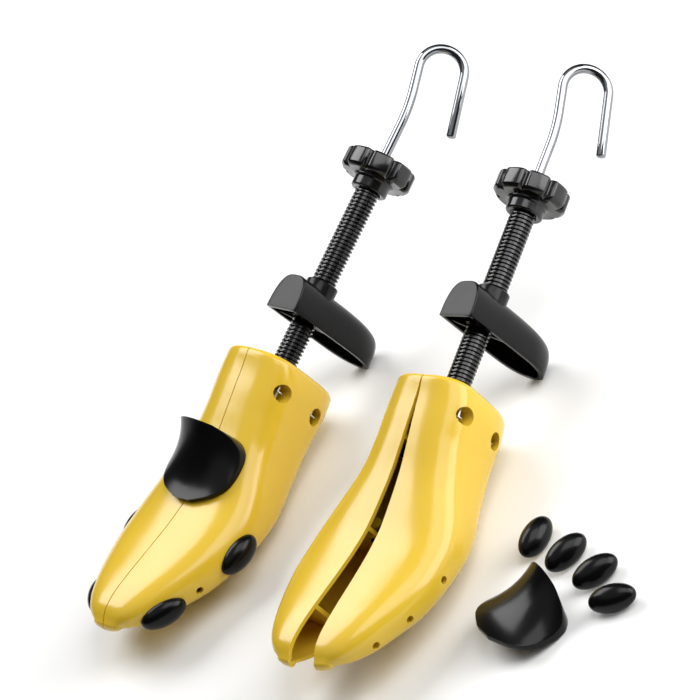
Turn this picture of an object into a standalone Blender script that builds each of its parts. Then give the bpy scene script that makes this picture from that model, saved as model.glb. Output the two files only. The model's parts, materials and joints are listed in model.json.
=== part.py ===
"""Pair of two-way shoe stretchers with their pads.

Stretcher A is closed and wears its pads, stretcher B is spread and bare, and a second set of pads
lies loose. Each stretcher is modelled in its own frame: +Y runs along the spindle from the back
face of the body to the knob, +Z points out of the instep and +X is the right flank. An empty
carries that frame and tilts it so that the sole and the heel piece rest on the floor.
"""

import math

import bmesh
import bpy
from mathutils import Matrix, Vector

# Fits
SEAM_GAP = 0.0003
SEAT_GAP = 0.0003
RUN_GAP = 0.0004
OVERRUN = 0.012
WELD_DIVISOR = 100

# Body shells
BODY_LENGTH = 0.172
BACK_HEIGHT = 0.060
BALL_HALF_WIDTH = 0.0415
WALL = 0.0026
BACK_EDGE_RADIUS = 0.0035
TOE_CAP = 0.0034
# of the section's upper and lower half, at the back face and at the toe
UPPER_POWER_SHARES = (0.78, 0.68)
LOWER_POWER_SHARES = (0.64, 0.86)
CENTRE_SHARES = (0.70, 0.36)
# along the body, top and bottom over the back height, half width over the ball's
STATION_SHARES = (
    (0.000, 0.490, -0.546, 0.580),
    (0.070, 0.452, -0.542, 0.645),
    (0.140, 0.428, -0.525, 0.655),
    (0.205, 0.402, -0.514, 0.665),
    (0.315, 0.361, -0.486, 0.740),
    (0.445, 0.352, -0.406, 0.910),
    (0.525, 0.362, -0.317, 0.980),
    (0.605, 0.405, -0.218, 0.990),
    (0.685, 0.467, -0.126, 0.960),
    (0.765, 0.536, -0.029, 0.874),
    (0.845, 0.605, 0.110, 0.737),
    (0.915, 0.650, 0.240, 0.590),
    (0.960, 0.655, 0.350, 0.455),
    (0.985, 0.635, 0.440, 0.345),
    (1.000, 0.610, 0.495, 0.245),
)
BODY_STEPS = 16
TOE_CROWDING_SHARE = 1.25
RING_POINTS = 22
HOLLOW_STEPS = 11
HOLLOW_RING_POINTS = 16

# Webs across each half, by their middle
WEB = 0.0024
BLOCK_WEB_Y = -0.0345
SPREAD_WEB_Y = -0.0880
TOE_WEB_Y = -0.1405

# Return springs and their bores
SPRING_Y = -0.0180
SPRING_HEIGHT = 0.0147
BORE_RADIUS = 0.0051
BOSS_RADIUS = 0.0064
BOSS_INNER_X = 0.0040
PIN_RADIUS = 0.0010
PIN_X = 0.0205
WIRE_RADIUS = 0.0005
COIL_RADIUS = 0.0031
COIL_TURNS = 6
COIL_HALF_LENGTH = 0.0115
CURL_POINTS = 8
HOOK_POINTS = 6

# Spindle, thrust block and length knob
SPINDLE_RADIUS = 0.0070
SPINDLE_BORE = 0.0037
SPINDLE_TOP_Y = 0.1160
SPINDLE_PITCH = 0.0023
COLLAR_RADIUS = 0.0100
COLLAR_LENGTH = 0.0040
BLOCK_FRONT_Y = -0.0415
BLOCK_LENGTH = 0.0140
BLOCK_WIDTH = 0.0220
BLOCK_HEIGHT = 0.0220
BLOCK_EDGE = 0.0012
KNOB_RADIUS = 0.0205
KNOB_DEPTH = 0.0026
KNOB_LOBES = 8
KNOB_LOBE_POINTS = 6
KNOB_UNDERSIDE_Y = 0.1185
KNOB_THICKNESS = 0.0118
KNOB_EDGE = 0.0014
HUB_RADIUS = 0.0105
HUB_LENGTH = 0.0075
ROUND_STEPS = 20
BORE_STEPS = 16

# Hook rod, its clip and the wedge nut
ROD_RADIUS = 0.00275
ROD_END_Y = -0.1065
ROD_LEAD = 0.0030
CLIP_RADIUS = 0.0055
CLIP_LENGTH = 0.0020
HOOK_START_Y = 0.1540
HOOK_LEAN_DEGREES = 12
HOOK_LEAN_RADIUS = 0.1050
HOOK_NECK = 0.0135
HOOK_RADIUS = 0.0130
HOOK_SPLAY_DEGREES = 13
HOOK_LEG = 0.0360
HOOK_PLANE_DEGREES = 50
WEDGE_LENGTH = 0.0270
WEDGE_TIP_Y = -0.0780
WEDGE_TIP_HALF_WIDTH = 0.0046
WEDGE_HEIGHT = 0.0150
WEDGE_TRAVEL = 0.0240
MAX_SPREAD_DEGREES = 4.5
NOSE_Y = -0.0800
NOSE_RADIUS = 0.0030
NOSE_DEPTH = 0.0070

# Heel piece
HEEL_TOP_Z = 0.0205
HEEL_TIP_Z = -0.0540
HEEL_DEPTH = 0.0210
HEEL_TOP_HALF_WIDTH = 0.0118
HEEL_WALL = 0.0022
HEEL_COLLAR_RADIUS = 0.0092
HEEL_COLLAR_REACH = 0.0045
HEEL_RIB = 0.0018
HEEL_RIB_SETBACK = 0.0020
HEEL_RIB_DEGREES = 38
# down the piece, half width over the top's, depth over the full depth
HEEL_STATION_SHARES = (
    (0.00, 1.00, 1.00),
    (0.20, 1.02, 1.00),
    (0.42, 1.05, 1.00),
    (0.62, 1.05, 0.98),
    (0.78, 1.00, 0.93),
    (0.90, 0.80, 0.84),
    (0.97, 0.50, 0.72),
    (1.00, 0.24, 0.62),
)
HEEL_ARCH_POINTS = 10
HEEL_ARCH_SHARE = 0.62
HEEL_ARCH_RISE_SHARE = 0.80

# Peg holes and the pads
PEG_RADIUS = 0.0019
PEG_LENGTH = 0.0062
HOLE_SHARES = (0.634, 0.791, 0.904)
PADDED_HOLES = (0, 2)
BUMP_HALF_LENGTH = 0.0133
BUMP_HALF_WIDTH = 0.0075
BUMP_HEIGHT = 0.0066
BUMP_POINTS = 18
BUMP_RINGS = 10
INSTEP_BACK_Y = -0.0464
INSTEP_LENGTH = 0.0450
INSTEP_HALF_WIDTH = 0.0256
INSTEP_BACK_THICKNESS = 0.0215
INSTEP_FRONT_THICKNESS = 0.0032
INSTEP_CROWN_SHARE = 0.45
INSTEP_LEAN_SHARE = 0.28
INSTEP_EDGE = 0.0022
INSTEP_ROWS = 10
INSTEP_COLUMNS = 8
# along the pad, half width over the widest
INSTEP_OUTLINE_SHARES = (
    (0.00, 0.20),
    (0.04, 0.37),
    (0.09, 0.58),
    (0.19, 0.79),
    (0.27, 0.90),
    (0.39, 0.97),
    (0.62, 1.00),
    (0.78, 0.91),
    (0.89, 0.71),
    (0.95, 0.50),
    (1.00, 0.22),
)

# Poses of the two stretchers and places of the loose pads on the floor
HEEL_A_TURNS = 12
HEEL_B_TURNS = 17
HEEL_A_DEGREES = 2.0
HEEL_B_DEGREES = 5.0
SPREAD_B_TURNS = 5
MAX_SPREAD_TURNS = WEDGE_TRAVEL / ROD_LEAD
STRETCHER_SPACING_X = 0.1258
STRETCHER_STEP_Y = 0.0092
STRETCHER_B_YAW_DEGREES = 7.8
# sideways and along the body, over the spacing of the two stretchers
LOOSE_BUMP_SHARES = (
    (1.617, -0.312),
    (1.819, -0.346),
    (2.025, -0.397),
    (2.201, -0.499),
)
LOOSE_BUMP_DEGREES = (97, 74, 60, 33)
LOOSE_PAD_SHARES = (1.828, -0.743)
LOOSE_PAD_DEGREES = -21
LOOSE_PAD_PITCH_DEGREES = -14

YELLOW = (0.690, 0.480, 0.072)
BLACK = (0.012, 0.012, 0.013)
STEEL = (0.620, 0.620, 0.630)
DARK_STEEL = (0.300, 0.300, 0.310)


def clear_scene():
    """Remove every object so that the script starts from nothing."""
    for item in list(bpy.data.objects):
        bpy.data.objects.remove(item, do_unlink=True)


def new_collection(name):
    """Make a collection in the scene."""
    collection = bpy.data.collections.new(name)
    bpy.context.scene.collection.children.link(collection)
    return collection


def make_material(name, colour, roughness, metallic):
    """Make a Principled material."""
    material = bpy.data.materials.new(name)
    material.use_nodes = True
    shader = material.node_tree.nodes["Principled BSDF"]
    shader.inputs["Base Color"].default_value = (*colour, 1.0)
    shader.inputs["Roughness"].default_value = roughness
    shader.inputs["Metallic"].default_value = metallic
    return material


def mesh_object(name, mesh, collection, parent=None):
    """Link a mesh to the scene as an object."""
    item = bpy.data.objects.new(name, mesh)
    collection.objects.link(item)
    item.parent = parent
    return item


def evaluated_mesh(item):
    """Give the mesh of an object with its modifiers applied, in the object's own space."""
    bpy.context.view_layer.update()
    graph = bpy.context.evaluated_depsgraph_get()
    return bpy.data.meshes.new_from_object(item.evaluated_get(graph))


def bake(item):
    """Apply the modifiers of an object, or turn a curve into a welded mesh object."""
    mesh = evaluated_mesh(item)
    matrix = item.matrix_world.copy()
    name = item.name
    collection = item.users_collection[0]
    bpy.data.objects.remove(item, do_unlink=True)
    cleaner = bmesh.new()
    cleaner.from_mesh(mesh)
    bmesh.ops.remove_doubles(cleaner, verts=cleaner.verts, dist=SEAM_GAP / WELD_DIVISOR)
    cleaner.transform(matrix)
    cleaner.to_mesh(mesh)
    cleaner.free()
    return mesh_object(name, mesh, collection)


def combine(item, tool, operation):
    """Run one exact Boolean on a baked object and remove the tool."""
    modifier = item.modifiers.new("Boolean", "BOOLEAN")
    modifier.operation = operation
    modifier.solver = "EXACT"
    modifier.object = tool
    mesh = evaluated_mesh(item)
    item.modifiers.clear()
    item.data = mesh
    bpy.data.objects.remove(tool, do_unlink=True)
    return item


def smooth_shading(mesh, degrees=35):
    """Shade a mesh smooth and keep its sharp edges."""
    mesh.shade_smooth()
    mesh.set_sharp_from_angle(angle=math.radians(degrees))


def table_value(table, place, column):
    """Read a column of a table at a place, on a smooth curve through its rows."""
    rows = len(table)
    index = 0
    while index < rows - 2 and place > table[index + 1][0]:
        index += 1
    low, high = table[index], table[index + 1]
    before = table[max(index - 1, 0)]
    after = table[min(index + 2, rows - 1)]
    span = high[0] - low[0]
    share = (place - low[0]) / span
    rise = high[column] - low[column]
    slope_low = (high[column] - before[column]) / (high[0] - before[0]) * span
    slope_high = (after[column] - low[column]) / (after[0] - low[0]) * span
    square = share * share
    cube = square * share
    bend = slope_low * (cube - 2 * square + share) + slope_high * (cube - square)
    return low[column] + rise * (3 * square - 2 * cube) + bend


def between(pair, along):
    """Give a value between the one at the back face and the one at the toe."""
    return pair[0] + (pair[1] - pair[0]) * along


def body_section(along, inset):
    """Give top, bottom, half width and centre height of the body at a share of its length."""
    top = table_value(STATION_SHARES, along, 1) * BACK_HEIGHT - inset
    bottom = table_value(STATION_SHARES, along, 2) * BACK_HEIGHT + inset
    half = table_value(STATION_SHARES, along, 3) * BALL_HALF_WIDTH - inset
    return top, bottom, half, bottom + between(CENTRE_SHARES, along) * (top - bottom)


def body_point(along, turn, inset=0.0, shrink=1.0):
    """Give a surface point; turn runs from 0 on the ridge through a half turn on the sole."""
    top, bottom, half, centre = body_section(along, inset)
    sideways = math.sin(turn)
    upwards = math.cos(turn)
    power = between(UPPER_POWER_SHARES if upwards > 0 else LOWER_POWER_SHARES, along)
    x = math.copysign(abs(sideways) ** power, sideways) * half
    reach = top - centre if upwards > 0 else centre - bottom
    z = centre + math.copysign(abs(upwards) ** power, upwards) * reach * shrink
    return Vector((x * shrink, -along * BODY_LENGTH, z))


def ridge_height(x, y):
    """Give the height of the instep surface over a place in the stretcher's own frame."""
    along = -y / BODY_LENGTH
    top, _, half, centre = body_section(along, 0.0)
    power = between(UPPER_POWER_SHARES, along)
    side = min(abs(x) / half, 1.0) ** (2 / power)
    return centre + (top - centre) * (1 - side) ** (power / 2)


def body_rings(inset, steps):
    """List the rings of the body's surface from the back face to the toe."""
    rings = []
    radius = BACK_EDGE_RADIUS
    for step in range(3):
        angle = math.radians(90) * step / 3
        pull = radius * (1 - math.sin(angle))
        along = (inset + radius * (1 - math.cos(angle))) / BODY_LENGTH
        rings.append((along, inset + pull, 1.0, 0.0))
    start = (inset + radius) / BODY_LENGTH
    for step in range(steps + 1):
        share = 1 - (1 - step / steps) ** TOE_CROWDING_SHARE
        rings.append((start + (1 - start) * share, inset, 1.0, 0.0))
    for step in (1, 2):
        angle = math.radians(90) * step / 3
        rings.append((1.0, inset, math.cos(angle), (TOE_CAP - inset) * math.sin(angle)))
    return rings


def body_loft(name, inset, collection, steps=BODY_STEPS, ring_points=RING_POINTS):
    """Loft the closed body form, drawn in by an inset."""
    maker = bmesh.new()
    loops = []
    for along, pull, shrink, reach in body_rings(inset, steps):
        loop = []
        for step in range(ring_points):
            turn = math.tau * step / ring_points
            point = body_point(along, turn, pull, shrink)
            point.y -= reach
            loop.append(maker.verts.new(point))
        loops.append(loop)
    for first, second in zip(loops, loops[1:]):
        for step in range(ring_points):
            after = (step + 1) % ring_points
            maker.faces.new((first[step], first[after], second[after], second[step]))
    maker.faces.new(loops[0])
    maker.faces.new(loops[-1])
    bmesh.ops.recalc_face_normals(maker, faces=maker.faces)
    mesh = bpy.data.meshes.new(name)
    maker.to_mesh(mesh)
    maker.free()
    return mesh_object(name, mesh, collection)


def box(name, low, high, collection):
    """Make a box between two corners."""
    maker = bmesh.new()
    bmesh.ops.create_cube(maker, size=1.0)
    size = Vector(high) - Vector(low)
    middle = (Vector(high) + Vector(low)) / 2
    maker.transform(Matrix.Translation(middle) @ Matrix.Diagonal((*size, 1.0)))
    mesh = bpy.data.meshes.new(name)
    maker.to_mesh(mesh)
    maker.free()
    return mesh_object(name, mesh, collection)


def rod_between(name, start, end, radius, collection, steps=ROUND_STEPS):
    """Make a cylinder between two points."""
    start, end = Vector(start), Vector(end)
    direction = end - start
    maker = bmesh.new()
    bmesh.ops.create_cone(maker, cap_ends=True, segments=steps, radius1=radius, radius2=radius,
                          depth=direction.length)
    turn = direction.to_track_quat("Z", "Y").to_matrix().to_4x4()
    maker.transform(Matrix.Translation((start + end) / 2) @ turn)
    mesh = bpy.data.meshes.new(name)
    maker.to_mesh(mesh)
    maker.free()
    return mesh_object(name, mesh, collection)


def turned(name, profile, collection, steps=ROUND_STEPS):
    """Turn a closed profile of (radius, y) points about the Y axis."""
    maker = bmesh.new()
    points = [maker.verts.new((radius, 0.0, y)) for radius, y in profile]
    for first, second in zip(points, points[1:] + points[:1]):
        maker.edges.new((first, second))
    mesh = bpy.data.meshes.new(name)
    maker.to_mesh(mesh)
    maker.free()
    item = mesh_object(name, mesh, collection)
    screw = item.modifiers.new("Turn", "SCREW")
    screw.axis = "Z"
    screw.steps = steps
    screw.render_steps = steps
    screw.merge_threshold = SEAM_GAP / WELD_DIVISOR
    screw.use_merge_vertices = True
    item.rotation_euler = (math.radians(-90), 0.0, 0.0)
    return bake(item)


def tube(name, points, radius, collection, resolution):
    """Make a solid round tube along a list of points."""
    curve = bpy.data.curves.new(name, "CURVE")
    curve.dimensions = "3D"
    curve.bevel_depth = radius
    curve.bevel_resolution = resolution
    curve.use_fill_caps = True
    spline = curve.splines.new("POLY")
    spline.points.add(len(points) - 1)
    for place, point in zip(spline.points, points):
        place.co = (*point, 1.0)
    item = bpy.data.objects.new(name, curve)
    collection.objects.link(item)
    return bake(item)


def outline_plate(name, points, thickness, collection):
    """Make a flat plate from an outline in the XY plane, centred on it."""
    curve = bpy.data.curves.new(name, "CURVE")
    curve.dimensions = "2D"
    curve.fill_mode = "BOTH"
    curve.extrude = thickness / 2
    spline = curve.splines.new("POLY")
    spline.points.add(len(points) - 1)
    for place, point in zip(spline.points, points):
        place.co = (*point, 0.0, 1.0)
    spline.use_cyclic_u = True
    item = bpy.data.objects.new(name, curve)
    collection.objects.link(item)
    return item


def hole_frame(index):
    """Give the place and outward direction of a peg hole on the right flank."""
    along = HOLE_SHARES[index]
    step = WALL / BODY_LENGTH
    quarter = math.radians(90)
    place = body_point(along, quarter)
    tangent = body_point(along + step, quarter) - body_point(along - step, quarter)
    upright = body_point(along, quarter - step) - body_point(along, quarter + step)
    normal = upright.cross(tangent).normalized()
    if normal.x < 0:
        normal = -normal
    return place, normal, tangent.normalized()


def wedge_slope():
    """Give the rise of the wedge's flanks over its length."""
    lateral = -NOSE_Y * math.sin(math.radians(MAX_SPREAD_DEGREES))
    return lateral / WEDGE_TRAVEL


def nose_inner_x():
    """Give the place of the spreading noses' tips, which touch the closed wedge."""
    slope = wedge_slope()
    at_nose = WEDGE_TIP_HALF_WIDTH + (WEDGE_TIP_Y - NOSE_Y) * slope
    lean = NOSE_RADIUS * (math.sqrt(1 + slope * slope) - 1)
    return at_nose + lean + SEAT_GAP


def add_webs(shell, collection):
    """Join the three cross webs to the shell."""
    for middle in (BLOCK_WEB_Y, SPREAD_WEB_Y, TOE_WEB_Y):
        web = box("web", (-BALL_HALF_WIDTH - OVERRUN, middle - WEB / 2, -BACK_HEIGHT),
                  (BALL_HALF_WIDTH + OVERRUN, middle + WEB / 2, BACK_HEIGHT), collection)
        limit = body_loft("limit", WALL / 2, collection)
        combine(web, limit, "INTERSECT")
        combine(shell, web, "UNION")


def add_bosses(shell, collection):
    """Join the two spring bosses to the right side of the shell."""
    for height in (SPRING_HEIGHT, -SPRING_HEIGHT):
        boss = rod_between("boss", (BOSS_INNER_X, SPRING_Y, height),
                           (BALL_HALF_WIDTH + OVERRUN, SPRING_Y, height), BOSS_RADIUS, collection,
                           BORE_STEPS)
        limit = body_loft("limit", WALL / 2, collection)
        combine(boss, limit, "INTERSECT")
        combine(shell, boss, "UNION")


def add_nose(shell, collection):
    """Join the nose that the wedge pushes outwards to the spreading web."""
    tip = nose_inner_x()
    half = WEDGE_HEIGHT / 2 - SEAT_GAP
    arm = box("arm", (tip + NOSE_RADIUS, SPREAD_WEB_Y, -half),
              (tip + NOSE_RADIUS + NOSE_DEPTH, NOSE_Y + NOSE_RADIUS * math.sin(math.radians(60)), half),
              collection)
    nose = rod_between("nose", (tip + NOSE_RADIUS, NOSE_Y, -half - SEAT_GAP),
                       (tip + NOSE_RADIUS, NOSE_Y, half + SEAT_GAP), NOSE_RADIUS, collection)
    combine(arm, nose, "UNION")
    combine(shell, arm, "UNION")


def cut_openings(shell, collection):
    """Cut the spindle notch, block pocket, wedge passage, spring bores and peg holes."""
    notch = rod_between("notch", (0.0, OVERRUN, 0.0), (0.0, BLOCK_WEB_Y / 2, 0.0),
                        SPINDLE_RADIUS + RUN_GAP * 3, collection)
    combine(shell, notch, "DIFFERENCE")
    half_width = BLOCK_WIDTH / 2 + SEAT_GAP
    half_height = BLOCK_HEIGHT / 2 + SEAT_GAP
    pocket = box("pocket", (-half_width, BLOCK_WEB_Y - WEB, -half_height),
                 (half_width, BLOCK_WEB_Y + WEB, half_height), collection)
    combine(shell, pocket, "DIFFERENCE")
    passage_half = nose_inner_x() + NOSE_RADIUS + SEAT_GAP
    passage = box("passage", (-passage_half, SPREAD_WEB_Y - WEB, -WEDGE_HEIGHT / 2 - RUN_GAP * 2),
                  (passage_half, SPREAD_WEB_Y + WEB / 2 + SEAT_GAP, WEDGE_HEIGHT / 2 + RUN_GAP * 2),
                  collection)
    combine(shell, passage, "DIFFERENCE")
    for height in (SPRING_HEIGHT, -SPRING_HEIGHT):
        bore = rod_between("bore", (0.0, SPRING_Y, height),
                           (BALL_HALF_WIDTH + OVERRUN, SPRING_Y, height), BORE_RADIUS, collection,
                           BORE_STEPS)
        combine(shell, bore, "DIFFERENCE")
        reach = BOSS_RADIUS + WALL
        socket = rod_between("socket", (PIN_X, SPRING_Y - reach, height),
                             (PIN_X, SPRING_Y + reach, height), PIN_RADIUS + SEAT_GAP, collection, 10)
        combine(shell, socket, "DIFFERENCE")
    for index in range(len(HOLE_SHARES)):
        place, normal, _ = hole_frame(index)
        drill = rod_between("drill", place - normal * (WALL * 3), place + normal * WALL,
                            PEG_RADIUS + SEAT_GAP, collection, 12)
        combine(shell, drill, "DIFFERENCE")


def shell_meshes(collection):
    """Build the right half of the body and its mirror image."""
    shell = body_loft("shell", 0.0, collection)
    hollow = body_loft("hollow", WALL, collection, HOLLOW_STEPS, HOLLOW_RING_POINTS)
    combine(shell, hollow, "DIFFERENCE")
    add_webs(shell, collection)
    add_bosses(shell, collection)
    add_nose(shell, collection)
    keep = box("keep", (SEAM_GAP / 2, -BODY_LENGTH - OVERRUN, -BACK_HEIGHT),
               (BALL_HALF_WIDTH + OVERRUN, OVERRUN, BACK_HEIGHT), collection)
    combine(shell, keep, "INTERSECT")
    cut_openings(shell, collection)
    right = shell.data
    bpy.data.objects.remove(shell, do_unlink=True)
    splitter = bmesh.new()
    splitter.from_mesh(right)
    bmesh.ops.triangulate(splitter, faces=splitter.faces)
    splitter.to_mesh(right)
    splitter.free()
    left = right.copy()
    left.transform(Matrix.Scale(-1, 4, (1.0, 0.0, 0.0)))
    left.flip_normals()
    smooth_shading(right)
    smooth_shading(left)
    return right, left


def spindle_mesh(collection):
    """Turn the hollow spindle with the thrust collar on its inner end."""
    seat = BLOCK_FRONT_Y - RUN_GAP
    end = seat - COLLAR_LENGTH
    profile = [
        (SPINDLE_BORE, SPINDLE_TOP_Y),
        (SPINDLE_RADIUS, SPINDLE_TOP_Y),
        (SPINDLE_RADIUS, seat),
        (COLLAR_RADIUS, seat),
        (COLLAR_RADIUS, end),
        (SPINDLE_BORE, end),
    ]
    return turned("spindle", profile, collection)


def block_mesh(collection):
    """Make the thrust block that the spindle turns in."""
    block = box("block", (-BLOCK_WIDTH / 2, BLOCK_FRONT_Y, -BLOCK_HEIGHT / 2),
                (BLOCK_WIDTH / 2, BLOCK_FRONT_Y + BLOCK_LENGTH, BLOCK_HEIGHT / 2), collection)
    bevel = block.modifiers.new("Bevel", "BEVEL")
    bevel.width = BLOCK_EDGE
    bevel.segments = 2
    block = bake(block)
    bore = rod_between("bore", (0.0, BLOCK_FRONT_Y - OVERRUN, 0.0),
                       (0.0, BLOCK_FRONT_Y + BLOCK_LENGTH + OVERRUN, 0.0),
                       SPINDLE_RADIUS + RUN_GAP, collection)
    return combine(block, bore, "DIFFERENCE")


def knob_mesh(collection):
    """Make the lobed length knob with its hub and the socket for the spindle."""
    points = []
    count = KNOB_LOBES * KNOB_LOBE_POINTS
    for step in range(count):
        turn = math.tau * step / count
        wave = (1 - math.cos(turn * KNOB_LOBES)) / 2
        radius = KNOB_RADIUS - KNOB_DEPTH * wave ** 4
        points.append((radius * math.cos(turn), radius * math.sin(turn)))
    plate = outline_plate("plate", points, KNOB_THICKNESS, collection)
    plate.rotation_euler = (math.radians(-90), 0.0, 0.0)
    plate.location = (0.0, KNOB_UNDERSIDE_Y + KNOB_THICKNESS / 2, 0.0)
    bpy.context.view_layer.update()
    plate = bake(plate)
    bevel = plate.modifiers.new("Bevel", "BEVEL")
    bevel.width = KNOB_EDGE
    bevel.segments = 1
    bevel.angle_limit = math.radians(60)
    plate = bake(plate)
    bottom = KNOB_UNDERSIDE_Y - HUB_LENGTH
    middle = KNOB_UNDERSIDE_Y + KNOB_THICKNESS / 2
    hub = rod_between("hub", (0.0, bottom, 0.0), (0.0, middle, 0.0), HUB_RADIUS, collection)
    combine(plate, hub, "UNION")
    socket = rod_between("socket", (0.0, bottom - OVERRUN, 0.0),
                         (0.0, SPINDLE_TOP_Y + SEAT_GAP, 0.0), SPINDLE_RADIUS + SEAT_GAP, collection)
    combine(plate, socket, "DIFFERENCE")
    bore = rod_between("bore", (0.0, bottom, 0.0),
                       (0.0, KNOB_UNDERSIDE_Y + KNOB_THICKNESS + OVERRUN, 0.0),
                       ROD_RADIUS + RUN_GAP, collection, 16)
    return combine(plate, bore, "DIFFERENCE")


def arc_points(start, heading, radius, degrees, steps):
    """Walk an arc in a plane; positive degrees turn towards +first axis."""
    side = math.copysign(1.0, degrees)
    centre = (start[0] + side * radius * math.cos(heading), start[1] - side * radius * math.sin(heading))
    points = []
    for step in range(1, steps + 1):
        turned_by = heading + math.radians(degrees) * step / steps
        points.append((centre[0] - side * radius * math.cos(turned_by),
                       centre[1] + side * radius * math.sin(turned_by)))
    return points, heading + math.radians(degrees)


def hook_route():
    """List the hook rod's centreline as (sideways, y) points."""
    points = [(0.0, ROD_END_Y), (0.0, HOOK_START_Y)]
    lean, heading = arc_points(points[-1], 0.0, HOOK_LEAN_RADIUS, -HOOK_LEAN_DEGREES, 4)
    points += lean
    last = points[-1]
    points.append((last[0] + HOOK_NECK * math.sin(heading), last[1] + HOOK_NECK * math.cos(heading)))
    round_degrees = 180 + HOOK_LEAN_DEGREES - HOOK_SPLAY_DEGREES
    crook, heading = arc_points(points[-1], heading, HOOK_RADIUS, round_degrees, 14)
    points += crook
    last = points[-1]
    points.append((last[0] + HOOK_LEG * math.sin(heading), last[1] + HOOK_LEG * math.cos(heading)))
    return points


def rod_mesh(collection):
    """Make the steel rod with its hook."""
    tilt = math.radians(HOOK_PLANE_DEGREES)
    points = []
    for sideways, y in hook_route():
        points.append((sideways * math.cos(tilt), y, -sideways * math.sin(tilt)))
    return tube("rod", points, ROD_RADIUS, collection, 3)


def clip_mesh(collection):
    """Turn the ring that holds the rod under the spindle's inner end."""
    top = BLOCK_FRONT_Y - RUN_GAP * 2 - COLLAR_LENGTH
    inner = ROD_RADIUS + SEAT_GAP
    profile = [(inner, top), (CLIP_RADIUS, top), (CLIP_RADIUS, top - CLIP_LENGTH),
               (inner, top - CLIP_LENGTH)]
    return turned("clip", profile, collection, 16)


def wedge_mesh(collection):
    """Make the wedge nut that the rod's thread pulls between the noses."""
    slope = wedge_slope()
    wide = WEDGE_TIP_HALF_WIDTH + WEDGE_LENGTH * slope
    outline = [(-WEDGE_TIP_HALF_WIDTH, WEDGE_TIP_Y), (-wide, WEDGE_TIP_Y - WEDGE_LENGTH),
               (wide, WEDGE_TIP_Y - WEDGE_LENGTH), (WEDGE_TIP_HALF_WIDTH, WEDGE_TIP_Y)]
    wedge = bake(outline_plate("wedge", outline, WEDGE_HEIGHT, collection))
    bore = rod_between("bore", (0.0, WEDGE_TIP_Y - WEDGE_LENGTH - OVERRUN, 0.0),
                       (0.0, WEDGE_TIP_Y + OVERRUN, 0.0), ROD_RADIUS + SEAT_GAP, collection, 16)
    return combine(wedge, bore, "DIFFERENCE")


def heel_form(name, inset, reach, collection):
    """Loft the heel piece's outer form, or its hollow when drawn in by an inset."""
    maker = bmesh.new()
    rows = []
    span = HEEL_TOP_Z - HEEL_TIP_Z - 2 * inset
    for down, width_share, depth_share in HEEL_STATION_SHARES:
        half = HEEL_TOP_HALF_WIDTH * width_share - inset
        depth = HEEL_DEPTH * depth_share - inset
        z = HEEL_TOP_Z - inset - span * down
        row = [maker.verts.new((-half, -reach, z))]
        for step in range(1, HEEL_ARCH_POINTS):
            turn = math.pi * step / HEEL_ARCH_POINTS
            x = math.copysign(abs(math.cos(turn)) ** HEEL_ARCH_SHARE, -math.cos(turn)) * half
            y = math.sin(turn) ** HEEL_ARCH_RISE_SHARE * depth
            row.append(maker.verts.new((x, y, z)))
        row.append(maker.verts.new((half, -reach, z)))
        rows.append(row)
    for first, second in zip(rows, rows[1:]):
        for step in range(len(first)):
            after = (step + 1) % len(first)
            maker.faces.new((first[step], second[step], second[after], first[after]))
    maker.faces.new(rows[0])
    maker.faces.new(reversed(rows[-1]))
    bmesh.ops.recalc_face_normals(maker, faces=maker.faces)
    mesh = bpy.data.meshes.new(name)
    maker.to_mesh(mesh)
    maker.free()
    return mesh_object(name, mesh, collection)


def heel_mesh(collection):
    """Make the heel piece with its opening on the plane y = 0."""
    heel = heel_form("heel", 0.0, 0.0, collection)
    combine(heel, heel_form("hollow", HEEL_WALL, OVERRUN, collection), "DIFFERENCE")
    for degrees in (HEEL_RIB_DEGREES, -HEEL_RIB_DEGREES):
        rib = box("rib", (-HEEL_RIB / 2, HEEL_RIB_SETBACK, HEEL_TIP_Z / 2),
                  (HEEL_RIB / 2, HEEL_DEPTH, -HEEL_TIP_Z / 2), collection)
        rib.data.transform(Matrix.Rotation(math.radians(degrees), 4, "Y"))
        combine(rib, heel_form("limit", HEEL_WALL / 2, 0.0, collection), "INTERSECT")
        combine(heel, rib, "UNION")
    collar = rod_between("collar", (0.0, HEEL_RIB_SETBACK, 0.0),
                         (0.0, HEEL_DEPTH + HEEL_COLLAR_REACH, 0.0), HEEL_COLLAR_RADIUS, collection)
    combine(heel, collar, "UNION")
    bore = rod_between("bore", (0.0, -OVERRUN, 0.0),
                       (0.0, HEEL_DEPTH + HEEL_COLLAR_REACH + OVERRUN, 0.0),
                       SPINDLE_RADIUS + RUN_GAP, collection)
    return combine(heel, bore, "DIFFERENCE")


def spring_points():
    """List the centreline of one extension spring along X, loops at both ends."""
    half = COIL_HALF_LENGTH
    slack = -SPRING_Y * math.sin(math.radians(MAX_SPREAD_DEGREES)) + SEAT_GAP
    loop = PIN_RADIUS + WIRE_RADIUS + SEAT_GAP
    points = []
    count = COIL_TURNS * CURL_POINTS
    for step in range(count + 1):
        turn = math.tau * step / CURL_POINTS
        x = -half + 2 * half * step / count
        points.append(Vector((x, COIL_RADIUS * math.sin(turn), COIL_RADIUS * math.cos(turn))))
    end = []
    near = PIN_X - loop
    far = PIN_X + slack + PIN_RADIUS + WIRE_RADIUS
    end.append(Vector((near - loop, 0.0, loop)))
    for step in range(HOOK_POINTS + 1):
        turn = math.radians(180) * step / HOOK_POINTS
        end.append(Vector((far - loop + loop * math.sin(turn), 0.0, loop * math.cos(turn))))
    end.append(Vector((near + loop / 2, 0.0, -loop)))
    start = [Vector((-point.x, point.y, point.z)) for point in reversed(end)]
    return start + points + end


def least_gap(points, radius):
    """Give the least gap of a tube to its own later turns, measured on its points."""
    least = math.inf
    for first in range(len(points)):
        for second in range(first + CURL_POINTS // 2 + 1, len(points)):
            least = min(least, (points[first] - points[second]).length - 2 * radius)
    return least


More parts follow.
